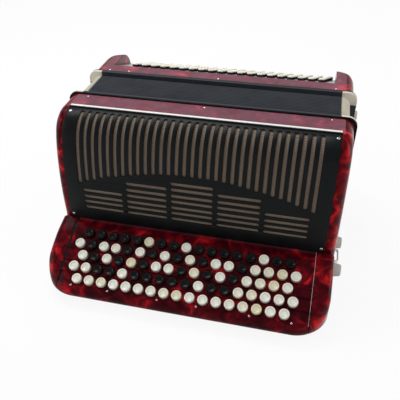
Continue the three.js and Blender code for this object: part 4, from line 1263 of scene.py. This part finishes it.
# Strap adjuster: a knurled metal wheel on the upper end of the bass casing, its hub in a bore in the wall.
wheel_radius = 13.0
knurl_depth = 0.6
wheel_teeth = 20
wheel_turns = [(-204.8, 0.5), (-204.8, 0.94), (-205.4, 1.0), (-210.2, 1.0), (-210.8, 0.94), (-210.8, 0.62),
               (-210.2, 0.58), (-210.2, 0.2)]
wheel_rings = []
for x, scale in wheel_turns:
    ring = []
    for i, (u, v) in enumerate(circle(scale, 4 * wheel_teeth)):
        radius = wheel_radius - (knurl_depth if i % 4 in (1, 2) else 0.0)
        ring.append((x, wheel_y + radius * u, wheel_z + radius * v))
    wheel_rings.append(ring)
wheel_parts = [loft(wheel_rings), rod(hub_radius, "x", -205.0, -200.8, wheel_y, wheel_z)]
wheel = piece("adjuster_wheel", *gathered(wheel_parts), metal)
fit(wheel, "strap_adjuster", "strap_adjuster_wheel")

# Feet: moulded pale rubber studs on the lower end, tapered, each with a washer and screw sunk in its face.
end_x = 204.7
rubber = Finish("foot_rubber")
rubber_dust = rubber.noise(rubber.place(), 160.0, 5.0)
rubber.dress(rubber.mix(rubber_dust, (0.66, 0.64, 0.61), (0.52, 0.50, 0.47)),
             0.6 + 0.25 * rubber_dust, rubber_dust, 0.2, 0.0002)
foot_profile = [(11.0, 0.0), (10.9, 1.0), (8.5, 12.2), (8.0, 13.1), (7.2, 13.5), (4.2, 13.5), (3.8, 13.0),
                (3.6, 9.0), (0.5, 9.0)]
foot_screw = [(0.4, 10.2), (1.2, 10.2), (1.3, 10.9), (2.6, 10.7), (3.2, 10.0), (3.2, 9.0)]
feet = [("foot_treble_front", 45.3, -45.0, "treble"), ("foot_treble_rear", 105.3, -45.0, "treble"),
        ("foot_bass_back", 254.5, -45.0, "bass"), ("foot_bass_front", 254.5, 96.0, "bass")]
for name, y, z, body in feet:
    place, outward = (end_x, y, z), (1.0, 0.0, 0.0)
    foot = piece(f"{name}_stud", *facing(foot_profile, 32, place, outward), rubber)
    fit(foot, body, name)
    fasteners(f"{name}_screw", [facing(foot_screw, 16, place, outward)], body)

# Strap loops: pressed metal loops for the shoulder straps, each on a plate with two screws.
loop_z = -46.0
loop_wire, loop_bore = 2.5, 6.0
loops = [("upper_front", -1, 50.0, 13.5), ("upper_rear", -1, 104.0, 13.5), ("lower", 1, 75.3, 10.0)]
for name, side, y, reach in loops:
    x = end_x
    outline = [(x + 0.2, y - 15), (x + 2.5, y - 15), (x + reach, y - 12.5),
               (x + reach, y + 12.5), (x + 2.5, y + 15), (x + 0.2, y + 15)]
    inner_x = x + reach - loop_wire
    slot = corners(inner_x - loop_bore, inner_x, y - 11, y + 11)
    cuts = [rounded(outline, [0, 2.0, 4.0, 4.0, 2.0, 0], 5), rounded(slot, [2.0] * 4, 5)]
    loop_flat, loop_faces = settle(plate(cuts, 5.0, 1.0, 2))
    loop = ([(side * u, v, w + loop_z) for u, v, w in loop_flat], loop_faces)
    pad_outline = rounded(corners(y - 15, y + 15, loop_z - 10, loop_z + 10), [3.0] * 4, 5)
    pad = loft([[(side * at, py, pz) for py, pz in pad_outline] for at in (x, x + 2.0)])
    heads = [facing(cover_head, 12, (side * (x + 2.2), y + dy, loop_z + dz), (side, 0.0, 0.0))
             for dy, dz in ((-10, -7), (10, 7))]
    bracket = piece(f"strap_loop_{name}", *gathered([loop, pad] + heads), metal)
    fit(bracket, "treble", f"strap_bracket_{name}")

# Inside: bare spruce pallet boards and reed blocks, a bright steel lever axle and a dull black floor plate.
# These keep their solids and take only their finish here.
spruce = Finish("bare_spruce")
spruce_place = spruce.place((1.0, 9.0, 9.0))
spruce_ring = spruce.bands(spruce_place, "Z", 18.0, 3.0, 3.0)
spruce_pore = spruce.noise(spruce_place, 220.0, 4.0)
spruce.dress(spruce.mix(spruce_ring * 0.7 + spruce_pore * 0.3, (0.62, 0.43, 0.24), (0.40, 0.24, 0.11)),
             0.6 + 0.2 * spruce_pore, spruce_ring, 0.15, 0.0003)
steel = Finish("drawn_steel", {"Metallic": 1.0})
steel.mottle((900.0, 2.0), (0.50, 0.50, 0.51), (0.66, 0.66, 0.66), 0.25, 0.2, (0.05, 1.0, 1.0))
dull = Finish("dull_black")
dull.mottle((80.0, 5.0), (0.02, 0.02, 0.02), (0.045, 0.043, 0.04), 0.55, 0.3)
wooden = ["treble_pallet_board", "bass_pallet_board", "bass_reed_block_1", "bass_reed_block_2"]
wooden += [f"treble_reed_block_{i}" for i in (1, 2, 3)]
inner = [(name, spruce) for name in wooden] + [("treble_lever_axle", steel), ("fingerboard_floor", dull)]
for name, finish in inner:
    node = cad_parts[name]
    node.data.materials.clear()
    node.data.materials.append(finish.material)
